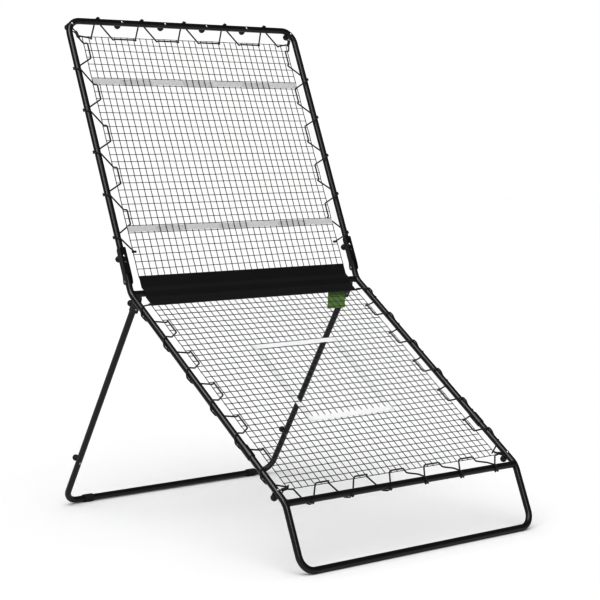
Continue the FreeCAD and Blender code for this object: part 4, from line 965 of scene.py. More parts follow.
class REBOUNDER_OT_nets(bpy.types.Operator):
    """Weave the two nets, string by string"""
    bl_idname = "rebounder.nets"
    bl_label = "Nets"

    def execute(self, context):
        noise.seed_set(DRIFT_SEED)
        twine = kept("net_twine", twine_finish)
        upper_pulls = [(first + second) / 2 for first, second in zip(UPPER_PEGS, UPPER_PEGS[1:])]
        lower_pulls = [(first + second) / 2 + LOWER_RUN_SHIFT
                       for first, second in zip(LOWER_PEGS, LOWER_PEGS[1:])]
        top_pulls = [(first + second) / 2 for first, second in zip(TOP_PEGS, TOP_PEGS[1:])]
        front_pulls = [(first + second) / 2 for first, second in FRONT_RUNS]
        settings = context.scene.rebounder_net
        upright, level = settings.string_width * 500, settings.level_width * 500
        middle = (upright + level) * 0.53
        upper = self.net(settings, UPPER_NET, upper_pulls, top_pulls, 1, (upright, level))
        finished(upper, "upper_net_twine", "upper_frame", twine, UPPER, ("upper_net",), 75.0)
        lower = self.net(settings, LOWER_NET, lower_pulls, front_pulls, -1, (middle, middle))
        finished(lower, "lower_net_twine", "lower_frame", twine, LOWER, ("lower_net",), 75.0)
        return {"FINISHED"}

    def net(self, settings, span, side_pulls, end_pulls, laced_end, radii):
        """All strings both ways, then the slight pull of the lacing on the net's edges."""
        low, high = span
        row_pitch = (high - low) / CELLS
        bm = bmesh.new()
        start = Vector((-NET_X, low, 0.0))
        for phase in (0, 1):
            ways = [(Y_AXIS, row_pitch, phase, radii[0], X_AXIS * COLUMN_PITCH),
                    (X_AXIS, COLUMN_PITCH, 1 - phase, radii[1], Y_AXIS * row_pitch)]
            for heading, pitch, string_phase, radius, beside in ways:
                string = self.string(settings, start, heading, pitch, string_phase, radius)
                bmesh.ops.translate(string, verts=string.verts, vec=beside * phase)
                add_copies(bm, string, beside * 2, CELLS // 2 + 1 - phase)
        for vert in bm.verts:
            vert.co += self.pull(vert.co, low, high, side_pulls, end_pulls, laced_end)
        return bm

    def string(self, settings, start, heading, pitch, phase, radius):
        """One string from edge to edge, thicker at its crossings and waving over and under."""
        wave, shoulder, rise = settings.wave * 1000, 3.4, 0.6
        steps = []
        for cell in range(CELLS + 1):
            height = wave if (cell + phase) % 2 == 0 else -wave
            steps.append((cell * pitch, height, settings.crossing))
            if cell < CELLS:
                steps.append((cell * pitch + shoulder, height * rise, 1.0))
                steps.append(((cell + 1) * pitch - shoulder, -height * rise, 1.0))
        sweep = Sweep(start + Z_AXIS * steps[0][1], heading, radius * settings.crossing, 6)
        for (place, height, swell), (_, _, last_swell) in zip(steps[1:], steps):
            sweep.run_to(start + heading * place + Z_AXIS * height)
            if swell != last_swell:
                scale = swell / last_swell
                bmesh.ops.scale(sweep.bm, verts=sweep.ring, vec=(scale, scale, scale),
                                space=Matrix.Translation(-sweep.place))
        return sweep.finish()

    def pull(self, place, low, high, side_pulls, end_pulls, laced_end):
        """A millimetre or two towards the lacing at each run, fading into the net."""
        fade, side_spread, end_spread, still = 110.0, 42.0, 48.0, 160.0
        end = high if laced_end > 0 else low
        from_side = NET_X - abs(place.x)
        side_fade = max(0.0, 1 - from_side / fade) ** 2
        end_fade = max(0.0, 1 - abs(end - place.y) / fade) ** 2
        side = sum(math.exp(-((place.y - at) / side_spread) ** 2) for at in side_pulls)
        along = sum(math.exp(-((place.x - at) / end_spread) ** 2) for at in end_pulls)
        free = min(1.0, from_side / still, (place.y - low) / still, (high - place.y) / still)
        drift = noise.noise_vector(Vector((place.x, place.y, 0.0)) / 95.0) * (1.1 * max(0.0, free))
        moved = Vector((drift.x, drift.y, drift.z * 1.4))
        moved.x += math.copysign(1.5, place.x) * side_fade * side
        moved.y += laced_end * 1.3 * end_fade * along
        return moved


def eased(share):
    """From 0 to 1 with a soft start and a soft end."""
    share = min(1.0, max(0.0, share))
    return share * share * (3 - 2 * share)


class REBOUNDER_OT_straps(bpy.types.Operator):
    """Thread the white webbing through the nets"""
    bl_idname = "rebounder.straps"
    bl_label = "Webbing Straps"

    def execute(self, context):
        settings = context.scene.rebounder_cloth
        webbing = kept("woven_webbing", webbing_finish)
        covered = [column for first in (5, 15, 25) for column in range(first, first + 5)]
        for node, level in (("high_strap", HIGH_STRAP), ("low_strap", LOW_STRAP)):
            strap = self.strap(settings, level, covered)
            piece = finished(strap, node + "_webbing", "upper_frame", webbing, UPPER,
                             (node,), closed=False)
            thicken(piece, settings.webbing_thickness)
        return {"FINISHED"}

    def strap(self, settings, level, covered):
        """A level strap, in front of the strings but behind them at the covered columns."""
        width = settings.webbing_width * 1000
        heights = [-WEBBING_OFF if column in covered else WEBBING_OFF for column in range(CELLS + 1)]

        def place(u, v):
            at = u * CELLS
            left = min(int(at), CELLS - 1)
            blend = eased((at - left - 0.25) / 0.5)
            height = heights[left] + (heights[left + 1] - heights[left]) * blend
            edge = abs(v - 0.5) * 2
            x = -NET_X + 2 * NET_X * u
            y = level + (v - 0.5) * width
            ripple = noise.noise(Vector((x / 70.0, level, 0.0))) * 0.8
            height += 0.25 * math.copysign(1.0, height) * (1 - edge ** 4)
            return Vector((x, y + ripple, height)), (v * width * 0.001, (x + NET_X) * 0.001)

        return cloth_grid(CELLS * 6, 6, place)


def thicken(piece, thickness):
    """Gives a sheet its thickness, half to each side."""
    solid = piece.modifiers.new("thickness", "SOLIDIFY")
    solid.thickness = thickness
    solid.offset = 0.0
    solid.use_even_offset = True


class REBOUNDER_OT_target(bpy.types.Operator):
    """Sew the white strike square onto the lower net"""
    bl_idname = "rebounder.target"
    bl_label = "Strike Square"

    def execute(self, context):
        settings = context.scene.rebounder_cloth
        webbing = kept("strike_webbing", webbing_finish)
        across = (X_AXIS, 2 * TARGET_SIDE, WEBBING_OFF, WEBBING_OFF)
        upright = (Y_AXIS, TARGET_TOP - TARGET_BOTTOM, -WEBBING_OFF, 0.9)
        bars = [("target_top_bar", -TARGET_SIDE, TARGET_TOP, across),
                ("target_bottom_bar", -TARGET_SIDE, TARGET_BOTTOM, across),
                ("target_left_bar", -TARGET_SIDE, TARGET_BOTTOM, upright),
                ("target_right_bar", TARGET_SIDE, TARGET_BOTTOM, upright)]
        for name, x, y, run in bars:
            bar = self.bar(settings, Vector((x, y, 0.0)), *run)
            hides = ("target_straps",) if name == "target_top_bar" else ()
            piece = finished(bar, name, "lower_frame", webbing, LOWER, hides, closed=False)
            thicken(piece, settings.webbing_thickness)
        self.stitches()
        return {"FINISHED"}

    def bar(self, settings, start, heading, length, height, end_height):
        """One side of the square, which changes height just inside its two ends."""
        width = settings.webbing_width * 1000
        side = Z_AXIS.cross(heading)
        reach = width * 0.5
        total = length + 2 * reach

        def place(u, v):
            at = u * total - reach
            from_end = min(at + reach, length + reach - at)
            level = end_height + (height - end_height) * eased((from_end - width * 0.95) / 9.0)
            wander = noise.noise(Vector((at / 90.0, start.x / 50.0, start.y / 50.0))) * 0.9
            point = start + heading * at + side * ((v - 0.5) * width + wander) + Z_AXIS * level
            return point, (v * width * 0.001, (at + reach) * 0.001)

        return cloth_grid(120, 4, place)

    def stitches(self):
        """A sewn cross in a box at each corner of the square."""
        pale = kept("pale_thread", pale_thread_finish)
        half_box, off = 9.0, 3.05
        bm = bmesh.new()
        for x in (-TARGET_SIDE, TARGET_SIDE):
            for y in (TARGET_TOP, TARGET_BOTTOM):
                corners = [Vector((x + dx * half_box, y + dy * half_box, off)) for dx, dy in
                           ((-1, -1), (1, -1), (1, 1), (-1, 1))]
                for first, last in zip(corners, corners[1:] + corners[:1]):
                    stitch_line(bm, first, last)
                stitch_line(bm, corners[0], corners[2])
                stitch_line(bm, corners[1], corners[3])
        finished(bm, "target_stitching", "lower_frame", pale, LOWER, crease=70.0)


def stitch_line(bm, first, last, length=2.6, gap=1.3, radius=0.32):
    """A row of short stitches from one place to another, each a flat grain of thread."""
    count = max(1, int((last - first).length / (length + gap)))
    heading = (last - first) / count
    turn = X_AXIS.rotation_difference(heading).to_matrix().to_4x4()
    shape = Matrix.Diagonal((length / 2, radius, radius * 0.8, 1.0))
    grain = bmesh.new()
    bmesh.ops.create_uvsphere(grain, u_segments=4, v_segments=4, radius=1.0,
                              matrix=Matrix.Translation(first + heading / 2) @ turn @ shape)
    add_copies(bm, grain, heading, count)


def rounded_line(points, bends, spacing=1.5):
    """Straight runs joined by tangent arcs, as places close together."""
    line = [points[0]]
    for before, corner, after, bend in zip(points, points[1:], points[2:], bends):
        into, out = (corner - before).normalized(), (after - corner).normalized()
        half = into.angle(out) / 2
        first = corner - into * bend * math.tan(half)
        centre = corner + (out - into).normalized() * (bend / math.cos(half))
        steps = max(2, math.ceil(2 * half * bend / spacing))
        for index in range(steps + 1):
            turn = Matrix.Rotation(2 * half * index / steps, 3, into.cross(out).normalized())
            line.append(centre + turn @ (first - centre))
    return line + [points[-1]]


def evenly(line, count):
    """The same line in equal steps."""
    lengths = [0.0]
    for first, last in zip(line, line[1:]):
        lengths.append(lengths[-1] + (last - first).length)
    even, piece = [], 0
    for index in range(count + 1):
        at = lengths[-1] * index / count
        while piece < len(line) - 2 and lengths[piece + 1] < at:
            piece += 1
        step = max(lengths[piece + 1] - lengths[piece], 1e-9)
        even.append(line[piece].lerp(line[piece + 1], min(1.0, (at - lengths[piece]) / step)))
    return even


BAND_BOTTOM = -74.5
BAND_FOLD = 26.0
BAND_TOP = 73.5
BAND_BEND = 14.0
BAND_ROWS = 56
BAND_THICKNESS = 0.0011
HEM_HALF_HEIGHT = 4.6
HEM_HALF_DEPTH = 2.6
TAG_THICKNESS = 0.0007


def line_length(path):
    return sum((last - first).length for first, last in zip(path, path[1:]))


class REBOUNDER_OT_band(bpy.types.Operator):
    """Stretch the cloth band over the fold between the nets, with hems and seams"""
    bl_idname = "rebounder.band"
    bl_label = "Cloth Band"

    def execute(self, context):
        settings = context.scene.rebounder_cloth
        cloth = kept("band_cloth", band_finish)
        path = self.profile()
        band = self.band(settings, path)
        piece = finished(band, "band_cloth", "lower_frame", cloth, WHOLE, ("fabric_band",),
                         closed=False, crease=80.0)
        thicken(piece, BAND_THICKNESS)
        hems = self.hems(path)
        hem_piece = finished(hems, "band_hems", "lower_frame", cloth, WHOLE, crease=80.0)
        seams = self.seams(path)
        seam_piece = finished(seams, "band_seams", "lower_frame",
                              kept("sewing_thread", thread_finish), WHOLE, crease=80.0)
        for cloth_piece in (piece, hem_piece, seam_piece):
            unparented(cloth_piece)
            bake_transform(cloth_piece)
        return {"FINISHED"}

    def profile(self):
        """The back of the band: from the lower net's top string, round the cross tube, to the upper net."""
        forward = ((UPPER.to_3x3() @ Z_AXIS) + (LOWER.to_3x3() @ Z_AXIS)).normalized()
        tube_bend = TUBE_R + 0.6
        half_fold = math.radians(180.0 - LOWER_LEAN + UPPER_LEAN) / 2
        reach = tube_bend / math.cos(half_fold - math.acos(tube_bend / BAND_FOLD))
        corners = [LOWER @ Vector((0.0, BAND_BOTTOM, 0.0)), LOWER @ Vector((0.0, -BAND_FOLD, 0.0)),
                   HINGE + forward * (reach * 0.001),
                   UPPER @ Vector((0.0, BAND_FOLD, 0.0)), UPPER @ Vector((0.0, BAND_TOP, 0.0))]
        line = rounded_line([corner * 1000 for corner in corners], [BAND_BEND, tube_bend, BAND_BEND])
        return evenly(line, BAND_ROWS)

    def at(self, path, share):
        """The point at a share of the band's height, with the directions to its front and up it."""
        at = share * (len(path) - 1)
        low = min(int(at), len(path) - 2)
        point = path[low].lerp(path[low + 1], at - low)
        up = (path[low + 1] - path[low]).normalized()
        return point, X_AXIS.cross(up).normalized(), up

    def band(self, settings, path):
        height = line_length(path)
        pucker = settings.pucker * 1000

        def place(u, v):
            x = (u - 0.5) * 2 * NET_X
            point, front, _ = self.at(path, v)
            seam = max(0.0, 1 - min(v, 1 - v) / 0.28)
            ripple = noise.noise(Vector((x / 13.0, v * 2.0, 3.0))) * pucker * seam ** 1.5
            broad = (noise.noise(Vector((x / 160.0, v * 1.6, 9.0))) + 0.5) * 0.9 * math.sin(math.pi * v)
            pull = noise.noise(Vector((x / 60.0, v * 0.7, 21.0))) * 0.5 * math.sin(math.pi * v)
            offset = max(0.8, 0.8 + ripple + broad + pull)
            return point + X_AXIS * x + front * offset, (u * 2 * NET_X * 0.001, v * height * 0.001)

        return cloth_grid(240, BAND_ROWS, place)

    def hems(self, path):
        """Rolled hems that hold the nets' edge strings."""
        bm = bmesh.new()
        for share, way in ((0.0, 1), (1.0, -1)):
            point, front, up = self.at(path, share)
            start = point + up * (2.0 * way)
            sweep = Sweep(start - X_AXIS * NET_X, X_AXIS, 1.0, 12)
            turn = Matrix((X_AXIS, up, front)).transposed()
            shape = turn @ Matrix.Diagonal((1.0, HEM_HALF_HEIGHT, HEM_HALF_DEPTH)) @ turn.inverted()
            bmesh.ops.transform(sweep.bm, matrix=shape.to_4x4(), verts=sweep.ring,
                                space=Matrix.Translation(-sweep.place))
            steps = 120
            for index in range(1, steps + 1):
                x = -NET_X + 2 * NET_X * index / steps
                swell = noise.noise(Vector((x / 17.0, share, 5.0))) * 0.18
                sweep.run_to(start + X_AXIS * x + front * swell)
            merged(bm, sweep.finish())
        return bm

    def seams(self, path):
        """Two rows of stitches along each hem, and one across each end."""
        thread = {"length": 2.9, "gap": 1.2, "radius": 0.3}
        bm = bmesh.new()
        for share in (0.062, 0.1, 0.9, 0.938):
            point, front, _ = self.at(path, share)
            place = point + front * 1.9
            stitch_line(bm, place - X_AXIS * (NET_X - 3), place + X_AXIS * (NET_X - 3), **thread)
        for side in (-1, 1):
            marks = []
            for index in range(1, 24):
                point, front, _ = self.at(path, 0.04 + 0.92 * index / 24)
                marks.append(point + X_AXIS * (side * (NET_X - 9)) + front * 2.2)
            for first, last in zip(marks, marks[1:]):
                stitch_line(bm, first, last, **thread)
        return bm


def unparented(piece):
    """Frees a piece from its body, keeping it where it stands."""
    world = piece.matrix_world.copy()
    piece.parent = None
    piece.matrix_world = world


class REBOUNDER_OT_tag(bpy.types.Operator):
    """Hang the cloth tag from the band's lower seam"""
    bl_idname = "rebounder.tag"
    bl_label = "Cloth Tag"

    def execute(self, context):
        low, high = (Vector(corner) * 1000 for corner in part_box("cloth_tag"))
        width, height = high.x - low.x, high.z - low.z
        middle_y = (low.y + high.y) / 2

        def place(u, v):
            curl = (1 - v) ** 2 * 5.0 * (0.6 + 0.4 * math.cos(math.pi * u))
            wave = math.sin(u * 5.2 + 0.7) * 1.1 * (1 - v)
            x = low.x + width * u
            z = low.z + height * v
            return Vector((x, middle_y + curl + wave, z)), (u * width * 0.001, v * height * 0.001)

        cloth = cloth_grid(40, 32, place)
        piece = finished(cloth, "tag_cloth", "lower_frame", kept("tag_cloth", tag_finish),
                         WHOLE, ("cloth_tag",), closed=False, crease=80.0)
        thicken(piece, TAG_THICKNESS)
        bm = bmesh.new()
        inset = {0: 2.2, 1: -2.2}
        corners = []
        for u, v in ((0, 0), (0.25, 0), (0.5, 0), (0.75, 0), (1, 0), (1, 0.33), (1, 0.66), (1, 1),
                     (0, 1), (0, 0.66), (0, 0.33)):
            point, _ = place(u, v)
            corners.append(point + Vector((inset.get(u, 0.0), -0.5, inset.get(v, 0.0))))
        for first, last in zip(corners, corners[1:] + corners[:1]):
            stitch_line(bm, first, last, length=2.0, gap=0.8, radius=0.3)
        thread = kept("tag_thread", tag_thread_finish)
        edging = finished(bm, "tag_edging", "lower_frame", thread, WHOLE, crease=80.0)
        return {"FINISHED"}


# Elastic lacing: the same route as the solid cord

CORD_R = 3.0
PEG_R = 2.7
STRING_R = 1.4
ROOM = 0.4
WRAP_R = TUBE_R + CORD_R + ROOM
PEG_WRAP = PEG_R + CORD_R + ROOM
RUN_Z = STRING_R + CORD_R + ROOM
STRING_REACH = 4.6
STRAP_REACH = 17.1
SIDE_INSET = RAIL_X - NET_X + COLUMN_PITCH / 2
TOP_INSET = UPPER_LENGTH - UPPER_NET[1] + 9.0
FRONT_INSET = LOWER_NET[0] + LOWER_LENGTH + 5.4
TOP_TURN = TOP_PEGS[-1] + (TOP_PEG_SPACING - TOP_RUN) / 2
SIDE_TURN = UPPER_PEGS[0] + (SIDE_PEG_SPACING - SIDE_RUN) / 2
CORNER_BEND = 6.0
ELASTIC_R = 2.5
ELASTIC_RING = 6.3
KNOT_R = 6.5
KNOT_LENGTH = 19.7
KNOB_HUB_R = 8.0
UPPER_CORNER_OUT = 30.0
UPPER_RIGHT_CORNER_OUT = 16.0
LOWER_CORNER_OUT = 22.5
UPPER_CORD_START = Vector((-NET_X + 1.0, 181.0, 6.6))
UPPER_CORD_END = Vector((NET_X - 18.0, 181.0, 6.6))
LOWER_CORD_END = Vector((-NET_X - 8.0, -77.0, 6.8))
UPPER_CORNER_LINES = [
    [Vector((-NET_X + COLUMN_PITCH / 2, UPPER_NET[1] - UPPER_ROW_PITCH, RUN_Z)),
     Vector((-NET_X - 3.4, UPPER_NET[1] - UPPER_ROW_PITCH - 3.4, RUN_Z)),
     Vector((-NET_X - out, UPPER_LENGTH - 70.0, RUN_Z)),
     Vector((-TOP_TURN, UPPER_LENGTH - TOP_INSET, RUN_Z))]
    for out in (UPPER_CORNER_OUT, UPPER_RIGHT_CORNER_OUT)]
LOWER_CORNER_LINE = [Vector((-NET_X + 9.0, LOWER_NET[0] + LOWER_ROW_PITCH / 2, RUN_Z)),
                     Vector((-NET_X - LOWER_CORNER_OUT, -LOWER_LENGTH + 64.5, RUN_Z)),
                     Vector((-NET_X + COLUMN_PITCH / 2, LOWER_NET[0] - 6.8, RUN_Z))]

# Each wrap: how far from its peg the cord is at the tube's front, at its two outer corners and behind it
UPPER_LEFT_WRAPS = [(12.0, 8.2, 4.4, -3.3)] * 5
UPPER_RIGHT_WRAPS = [(15.0, 8.2, 4.4, -25.7)] * 5
LOWER_LEFT_WRAPS = [(33.0, 24.0, 5.0, -17.2)] * 6
LOWER_RIGHT_WRAPS = [(60.0, 50.0, 6.0, -17.2)] * 5 + [(42.0, 32.0, 6.0, -17.2)]
FRONT_WRAP = (10.0, 8.2, 4.4, -9.0)

# Each bow: where the cord passes between the net and the tube, as its way along from the run's end, its
# distance inward of the tube and its height off it
UPPER_BOW = [(0.0, RAIL_X - NET_X, RUN_Z)]
LOWER_BOW = [(24.0, SIDE_INSET / 2, RUN_Z)]
FRONT_BOW = [(-3.0, 46.0, RUN_Z), (44.0, 24.0, 10.5)]


def free_spot(place, strings, straps=()):
    """The nearest place where the cord fits through between the strings."""
    blocked = ([(line - STRING_REACH, line + STRING_REACH) for line in strings]
               + [(line - STRAP_REACH, line + STRAP_REACH) for line in straps])
    candidates = [place] + [edge for pair in blocked for edge in pair]
    free = [spot for spot in candidates if all(spot <= low or spot >= high for low, high in blocked)]
    return min(free, key=lambda spot: abs(spot - place))


class LacedEdge:
    """A tube with the net's edge beside it."""

    def __init__(self, origin, along, inward, strings, straps=()):
        self.origin, self.along, self.inward = Vector(origin), along, inward
        self.strings, self.straps = strings, straps

    def point(self, along, inward, off):
        return self.origin + self.along * along + self.inward * inward + Z_AXIS * off

    def clear(self, along, strings=()):
        way = self.along.x + self.along.y
        return way * free_spot(way * along, strings, self.straps)

    def through(self, along, inward, to_front):
        along = self.clear(along, self.strings)
        order = (-RUN_Z, RUN_Z) if to_front else (RUN_Z, -RUN_Z)
        return [(self.point(along, inward, off), CORD_R * 1.4) for off in order]

    def corner(self, along, angle, bend):
        """A bend round the tube: the front is at 90 degrees, the outside at 180."""
        reach = WRAP_R / math.cos(math.radians(27.5))
        turn = math.radians(angle)
        return self.point(along, reach * math.cos(turn), reach * math.sin(turn)), bend

    def over_peg(self, peg, before, after):
        """Behind the tube, over the peg's front and behind the tube again."""
        route = []
        for side, spread in ((-1, before), (1, after)):
            close = peg + side * PEG_WRAP
            leg = [self.corner(peg + side * spread, -97.5, 12.0), self.corner(close, -152.5, 9.0),
                   (self.point(close, -WRAP_R, PEG_WRAP), PEG_WRAP * 0.96)]
            route += leg if side < 0 else leg[::-1]
        return route

    def past_peg(self, peg, wrap, front_first):
        """Across the tube in front, past the peg outside it and on behind."""
        way = -1 if front_first else 1
        route = [self.corner(peg + way * reach, angle, bend) for reach, angle, bend
                 in zip(wrap, (97.5, 152.5, -152.5, -97.5), (12.0, 9.0, 9.0, 12.0))]
        return route if front_first else route[::-1]


def runs_between(pegs, length, shift=0.0):
    middles = [(first + second) / 2 + shift for first, second in zip(pegs, pegs[1:])]
    return [(middle - length / 2, middle + length / 2) for middle in middles]


def ends_in_front(edge, start, end, inset, bow):
    """One run in front of the net, and on to the tube without going back through."""
    end = edge.clear(end)
    return (edge.through(start, inset, True) + [(edge.point(end, inset, RUN_Z), CORD_R * 2)]
            + [(edge.point(end + along, inward, off), 10.0) for along, inward, off in bow])


def lace_over(edge, pegs, inset, runs, spreads, wrap=None, bow=()):
    """Along a cross tube: over each peg, and through the net to run in front between them.

    With a wrap, the cord passes the pegs right of the middle with one leg in front.
    """
    route = []
    for index, peg in enumerate(pegs):
        crosses = wrap is not None and peg > 0
        if index > 0 and crosses:
            route += ends_in_front(edge, *runs[index - 1], inset, bow)
        elif index > 0:
            start, end = runs[index - 1]
            route += edge.through(start, inset, True) + edge.through(end, inset, False)
        route += edge.past_peg(peg, wrap, True) if crosses else edge.over_peg(peg, *spreads[index])
    return route


def lace_past(edge, pegs, runs, wraps, front_first, bow=()):
    """Along a side tube: past each peg, with one leg of each run in front of the net."""
    route = []
    for index, peg in enumerate(pegs):
        if index > 0 and front_first:
            route += ends_in_front(edge, *runs[index - 1], SIDE_INSET, bow)
        elif index > 0:
            start, end = runs[index - 1]
            route.append((edge.point(edge.clear(start), SIDE_INSET, RUN_Z), CORD_R * 2))
            route += edge.through(end, SIDE_INSET, False)
        route += edge.past_peg(peg, wraps[index], front_first)
    return route


def flipped(route):
    """The same corner on the other side, laced the other way."""
    return [(Vector((-point.x, point.y, point.z)), bend) for point, bend in route[::-1]]


def whipped_end(centre, direction, radius=4.7, turns=6, pitch=3.2):
    """A cord's end bound with a few turns of itself."""
    half = turns * pitch / 2
    profile = [(0.0, -half - 1.0), (2.6, -half - 0.8)]
    for turn in range(turns):
        base = turn * pitch - half
        profile += [(radius - 0.7, base), (radius, base + 0.8), (radius, base + 2.4)]
    profile += [(radius - 0.7, half), (2.6, half + 0.8), (0.0, half + 1.0)]
    return lathed(profile, facing(direction, centre), 18)


class REBOUNDER_OT_lacing(bpy.types.Operator):
    """Lace both nets to the pegs with braided elastic"""
    bl_idname = "rebounder.lacing"
    bl_label = "Elastic Lacing"

    def execute(self, context):
        braid = kept("braided_elastic", braid_finish)
        radius = context.scene.rebounder_cord.diameter * 500
        for name, body, plane, route in (("upper", "upper_frame", UPPER, self.upper_route()),
                                         ("lower", "lower_frame", LOWER, self.lower_route())):
            points = [point for point, _ in route]
            bends = [bend for _, bend in route[1:-1]]
            cord = swept(points, bends, radius, arc_step=16.0)
            finished(cord, name + "_lacing_cord", body, braid, plane, (name + "_lacing",),
                     crease=80.0)
            ends = bmesh.new()
            for place in (points[0], points[-1]):
                merged(ends, whipped_end(place, X_AXIS))
            finished(ends, name + "_lacing_ends", body,
                     kept("cord_whipping", whipping_finish), plane, crease=50.0)
        return {"FINISHED"}

    def upper_route(self):
        columns = [-NET_X + COLUMN_PITCH * index for index in range(CELLS + 1)]
        rows = [UPPER_NET[0] + UPPER_ROW_PITCH * index for index in range(CELLS + 1)]
        straps = [HIGH_STRAP, LOW_STRAP]
        left = LacedEdge((-RAIL_X, 0, 0), Y_AXIS, X_AXIS, rows, straps)
        top = LacedEdge((0, UPPER_LENGTH, 0), X_AXIS, -Y_AXIS, columns)
        right = LacedEdge((RAIL_X, 0, 0), -Y_AXIS, -X_AXIS, rows, straps)
        up_pegs, down_pegs = LEFT_PEGS[::-1], [-place for place in RIGHT_PEGS]
        turns, right_turns = [list(zip(line, (CORD_R * 2, 8.0, CORNER_BEND))) for line in UPPER_CORNER_LINES]
        route = [(UPPER_CORD_START, 0)]
        route += lace_past(left, up_pegs, runs_between(up_pegs, SIDE_RUN, -LEFT_PEG_SHIFT),
                           UPPER_LEFT_WRAPS, True, UPPER_BOW)
        route += left.through(SIDE_TURN, SIDE_INSET, True) + turns + top.through(-TOP_TURN, TOP_INSET, False)
        route += lace_over(top, TOP_PEGS, TOP_INSET, runs_between(TOP_PEGS, TOP_RUN), [(9.0, 14.2)] * 5)
        route += top.through(TOP_TURN, TOP_INSET, True) + flipped(right_turns)
        route += right.through(-SIDE_TURN, SIDE_INSET, False)
        route += lace_past(right, down_pegs, runs_between(down_pegs, SIDE_RUN, RIGHT_PEG_SHIFT),
                           UPPER_RIGHT_WRAPS, False)
        return route + [(UPPER_CORD_END, 0)]

    def lower_route(self):
        columns = [-NET_X + COLUMN_PITCH * index for index in range(CELLS + 1)]
        rows = [LOWER_NET[1] - LOWER_ROW_PITCH * index for index in range(CELLS + 1)]
        left = LacedEdge((-RAIL_X, 0, 0), -Y_AXIS, X_AXIS, rows)
        front = LacedEdge((0, -LOWER_LENGTH, 0), X_AXIS, Y_AXIS, columns)
        right = LacedEdge((RAIL_X, 0, 0), Y_AXIS, -X_AXIS, rows)
        down_pegs, up_pegs = [-place for place in LOWER_PEGS], LOWER_PEGS[::-1]
        spreads = [(9.0, 22.0)] + [(22.0, 22.0)] * 5
        inside, corner, under = LOWER_CORNER_LINE
        turns = [(corner, CORNER_BEND), (under, 8.0)]
        route = [(LOWER_CORD_END, 0)]
        route += lace_past(left, down_pegs, runs_between(down_pegs, LOWER_RUN, -LOWER_RUN_SHIFT),
                           LOWER_LEFT_WRAPS, True, LOWER_BOW)
        route += left.through(-inside.y, RAIL_X + inside.x, True) + turns
        route += lace_over(front, FRONT_PEGS, FRONT_INSET, FRONT_RUNS, spreads, FRONT_WRAP, FRONT_BOW)
        route += flipped(turns) + right.through(inside.y, RAIL_X + inside.x, False)
        route += lace_past(right, up_pegs, runs_between(up_pegs, LOWER_RUN, LOWER_RUN_SHIFT),
                           LOWER_RIGHT_WRAPS, False)
        return route + flipped([(LOWER_CORD_END, 0)])


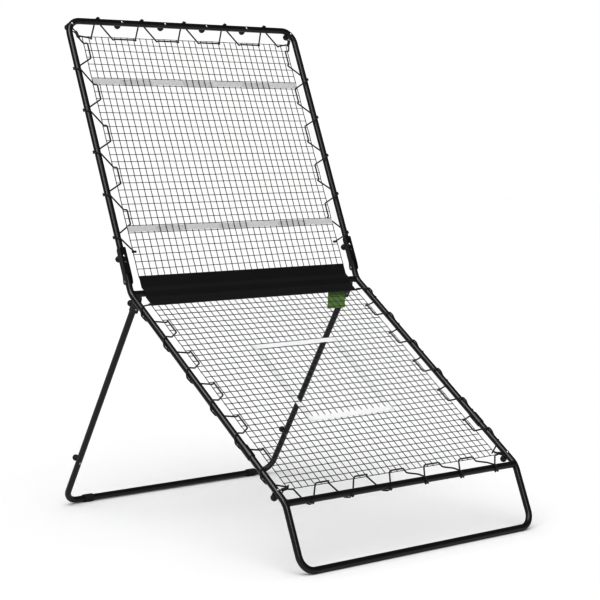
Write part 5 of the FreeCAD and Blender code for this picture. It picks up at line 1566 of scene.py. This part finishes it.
class REBOUNDER_OT_corner_elastics(bpy.types.Operator):
    """Loop a short elastic from each corner knob to the lacing's corner"""
    bl_idname = "rebounder.corner_elastics"
    bl_label = "Corner Elastics"

    def execute(self, context):
        braid = kept("braided_elastic", braid_finish)
        upper = [line[1:] for line in UPPER_CORNER_LINES]
        for name, plane, bolt, lines in (("upper", UPPER, UPPER_CORNER, upper),
                                         ("lower", LOWER, FRONT_CORNER, [LOWER_CORNER_LINE] * 2)):
            body, node = name + "_frame", name + "_corner_elastics"
            cords, knots = bmesh.new(), bmesh.new()
            for side, line in zip((-1, 1), lines):
                cord, ring, knot = self.elastic(Vector((-bolt.x, bolt.y, 0.0)), line)
                if side > 0:
                    for half in (cord, ring, knot):
                        bmesh.ops.scale(half, verts=half.verts, vec=(-1.0, 1.0, 1.0))
                merged(cords, cord)
                merged(cords, ring)
                merged(knots, knot)
            finished(cords, name + "_corner_cords", body, braid, plane, (node,), crease=80.0)
            finished(knots, name + "_corner_knots", body,
                     kept("cord_whipping", whipping_finish), plane, crease=50.0)
        return {"FINISHED"}

    def elastic(self, bolt, line):
        """Doubled round the knob's hub, and tied to a ring round the cord's corner."""
        before, sharp, after = line
        into, out = (sharp - before).normalized(), (after - sharp).normalized()
        outward = (into - out).normalized()
        corner = sharp - outward * (CORNER_BEND / math.cos(into.angle(out) / 2) - CORNER_BEND)
        level = Vector((corner.x - bolt.x, corner.y - bolt.y, 0.0))
        reach, toward = level.length, level.normalized()
        across = Z_AXIS.cross(toward)
        hub_r, hub_z = KNOB_HUB_R + ELASTIC_R + 2 * ROOM, -(TUBE_R + ELASTIC_R + ROOM)
        near = reach - ELASTIC_RING + KNOT_R - KNOT_LENGTH

        def at(along, side, off):
            return bolt + toward * along + across * side + Z_AXIS * off

        route = [at(near, 2.8, corner.z), at(TUBE_R + 3.0, hub_r, hub_z), at(-hub_r, hub_r, hub_z),
                 at(-hub_r, -hub_r, hub_z), at(TUBE_R + 3.0, -hub_r, hub_z), at(near, -2.8, corner.z)]
        cord = swept(route, [8.0, hub_r * 0.9, hub_r * 0.9, 8.0], ELASTIC_R, sides=10, arc_step=16.0)
        axis = Z_AXIS.cross(outward).normalized()
        ring = Sweep(corner + outward * ELASTIC_RING, axis.cross(outward), ELASTIC_R, 10)
        ring.turn(corner, axis, math.tau * 0.98, 26)
        knot = whipped_end(at(near + 3.5, 0.0, corner.z), toward, 6.2)
        return cord, ring.finish(), knot


STEPS = [REBOUNDER_OT_camera, REBOUNDER_OT_lacing, REBOUNDER_OT_corner_elastics, REBOUNDER_OT_stage,
         REBOUNDER_OT_tubes, REBOUNDER_OT_hardware, REBOUNDER_OT_nets, REBOUNDER_OT_straps,
         REBOUNDER_OT_target, REBOUNDER_OT_band, REBOUNDER_OT_tag]


class REBOUNDER_PT_panel(bpy.types.Panel):
    """Everything that the rebounder is made of"""
    bl_label = "Rebounder"
    bl_idname = "REBOUNDER_PT_panel"
    bl_space_type = "VIEW_3D"
    bl_region_type = "UI"
    bl_category = "Rebounder"

    def draw(self, context):
        column = self.layout.column(align=True)
        for step in STEPS:
            column.operator(step.bl_idname)


GROUPS = {"rebounder_frame": FRAME_PG_settings, "rebounder_net": NET_PG_settings,
          "rebounder_cloth": CLOTH_PG_settings, "rebounder_cord": CORD_PG_settings,
          "rebounder_stage": STAGE_PG_settings}


def register():
    for name, group in GROUPS.items():
        bpy.utils.register_class(group)
        setattr(bpy.types.Scene, name, PointerProperty(type=group))
    for step in STEPS + [REBOUNDER_PT_panel]:
        bpy.utils.register_class(step)


def unregister():
    for step in reversed(STEPS + [REBOUNDER_PT_panel]):
        bpy.utils.unregister_class(step)
    for name, group in GROUPS.items():
        delattr(bpy.types.Scene, name)
        bpy.utils.unregister_class(group)


def main():
    register()
    for make in (patchiness_group, grain_group, weave_group, braid_group, twist_group):
        make()
    for step in STEPS:
        area, action = step.bl_idname.split(".")
        getattr(getattr(bpy.ops, area), action)()
    bpy.context.view_layer.update()


if __name__ == "__main__":
    main()
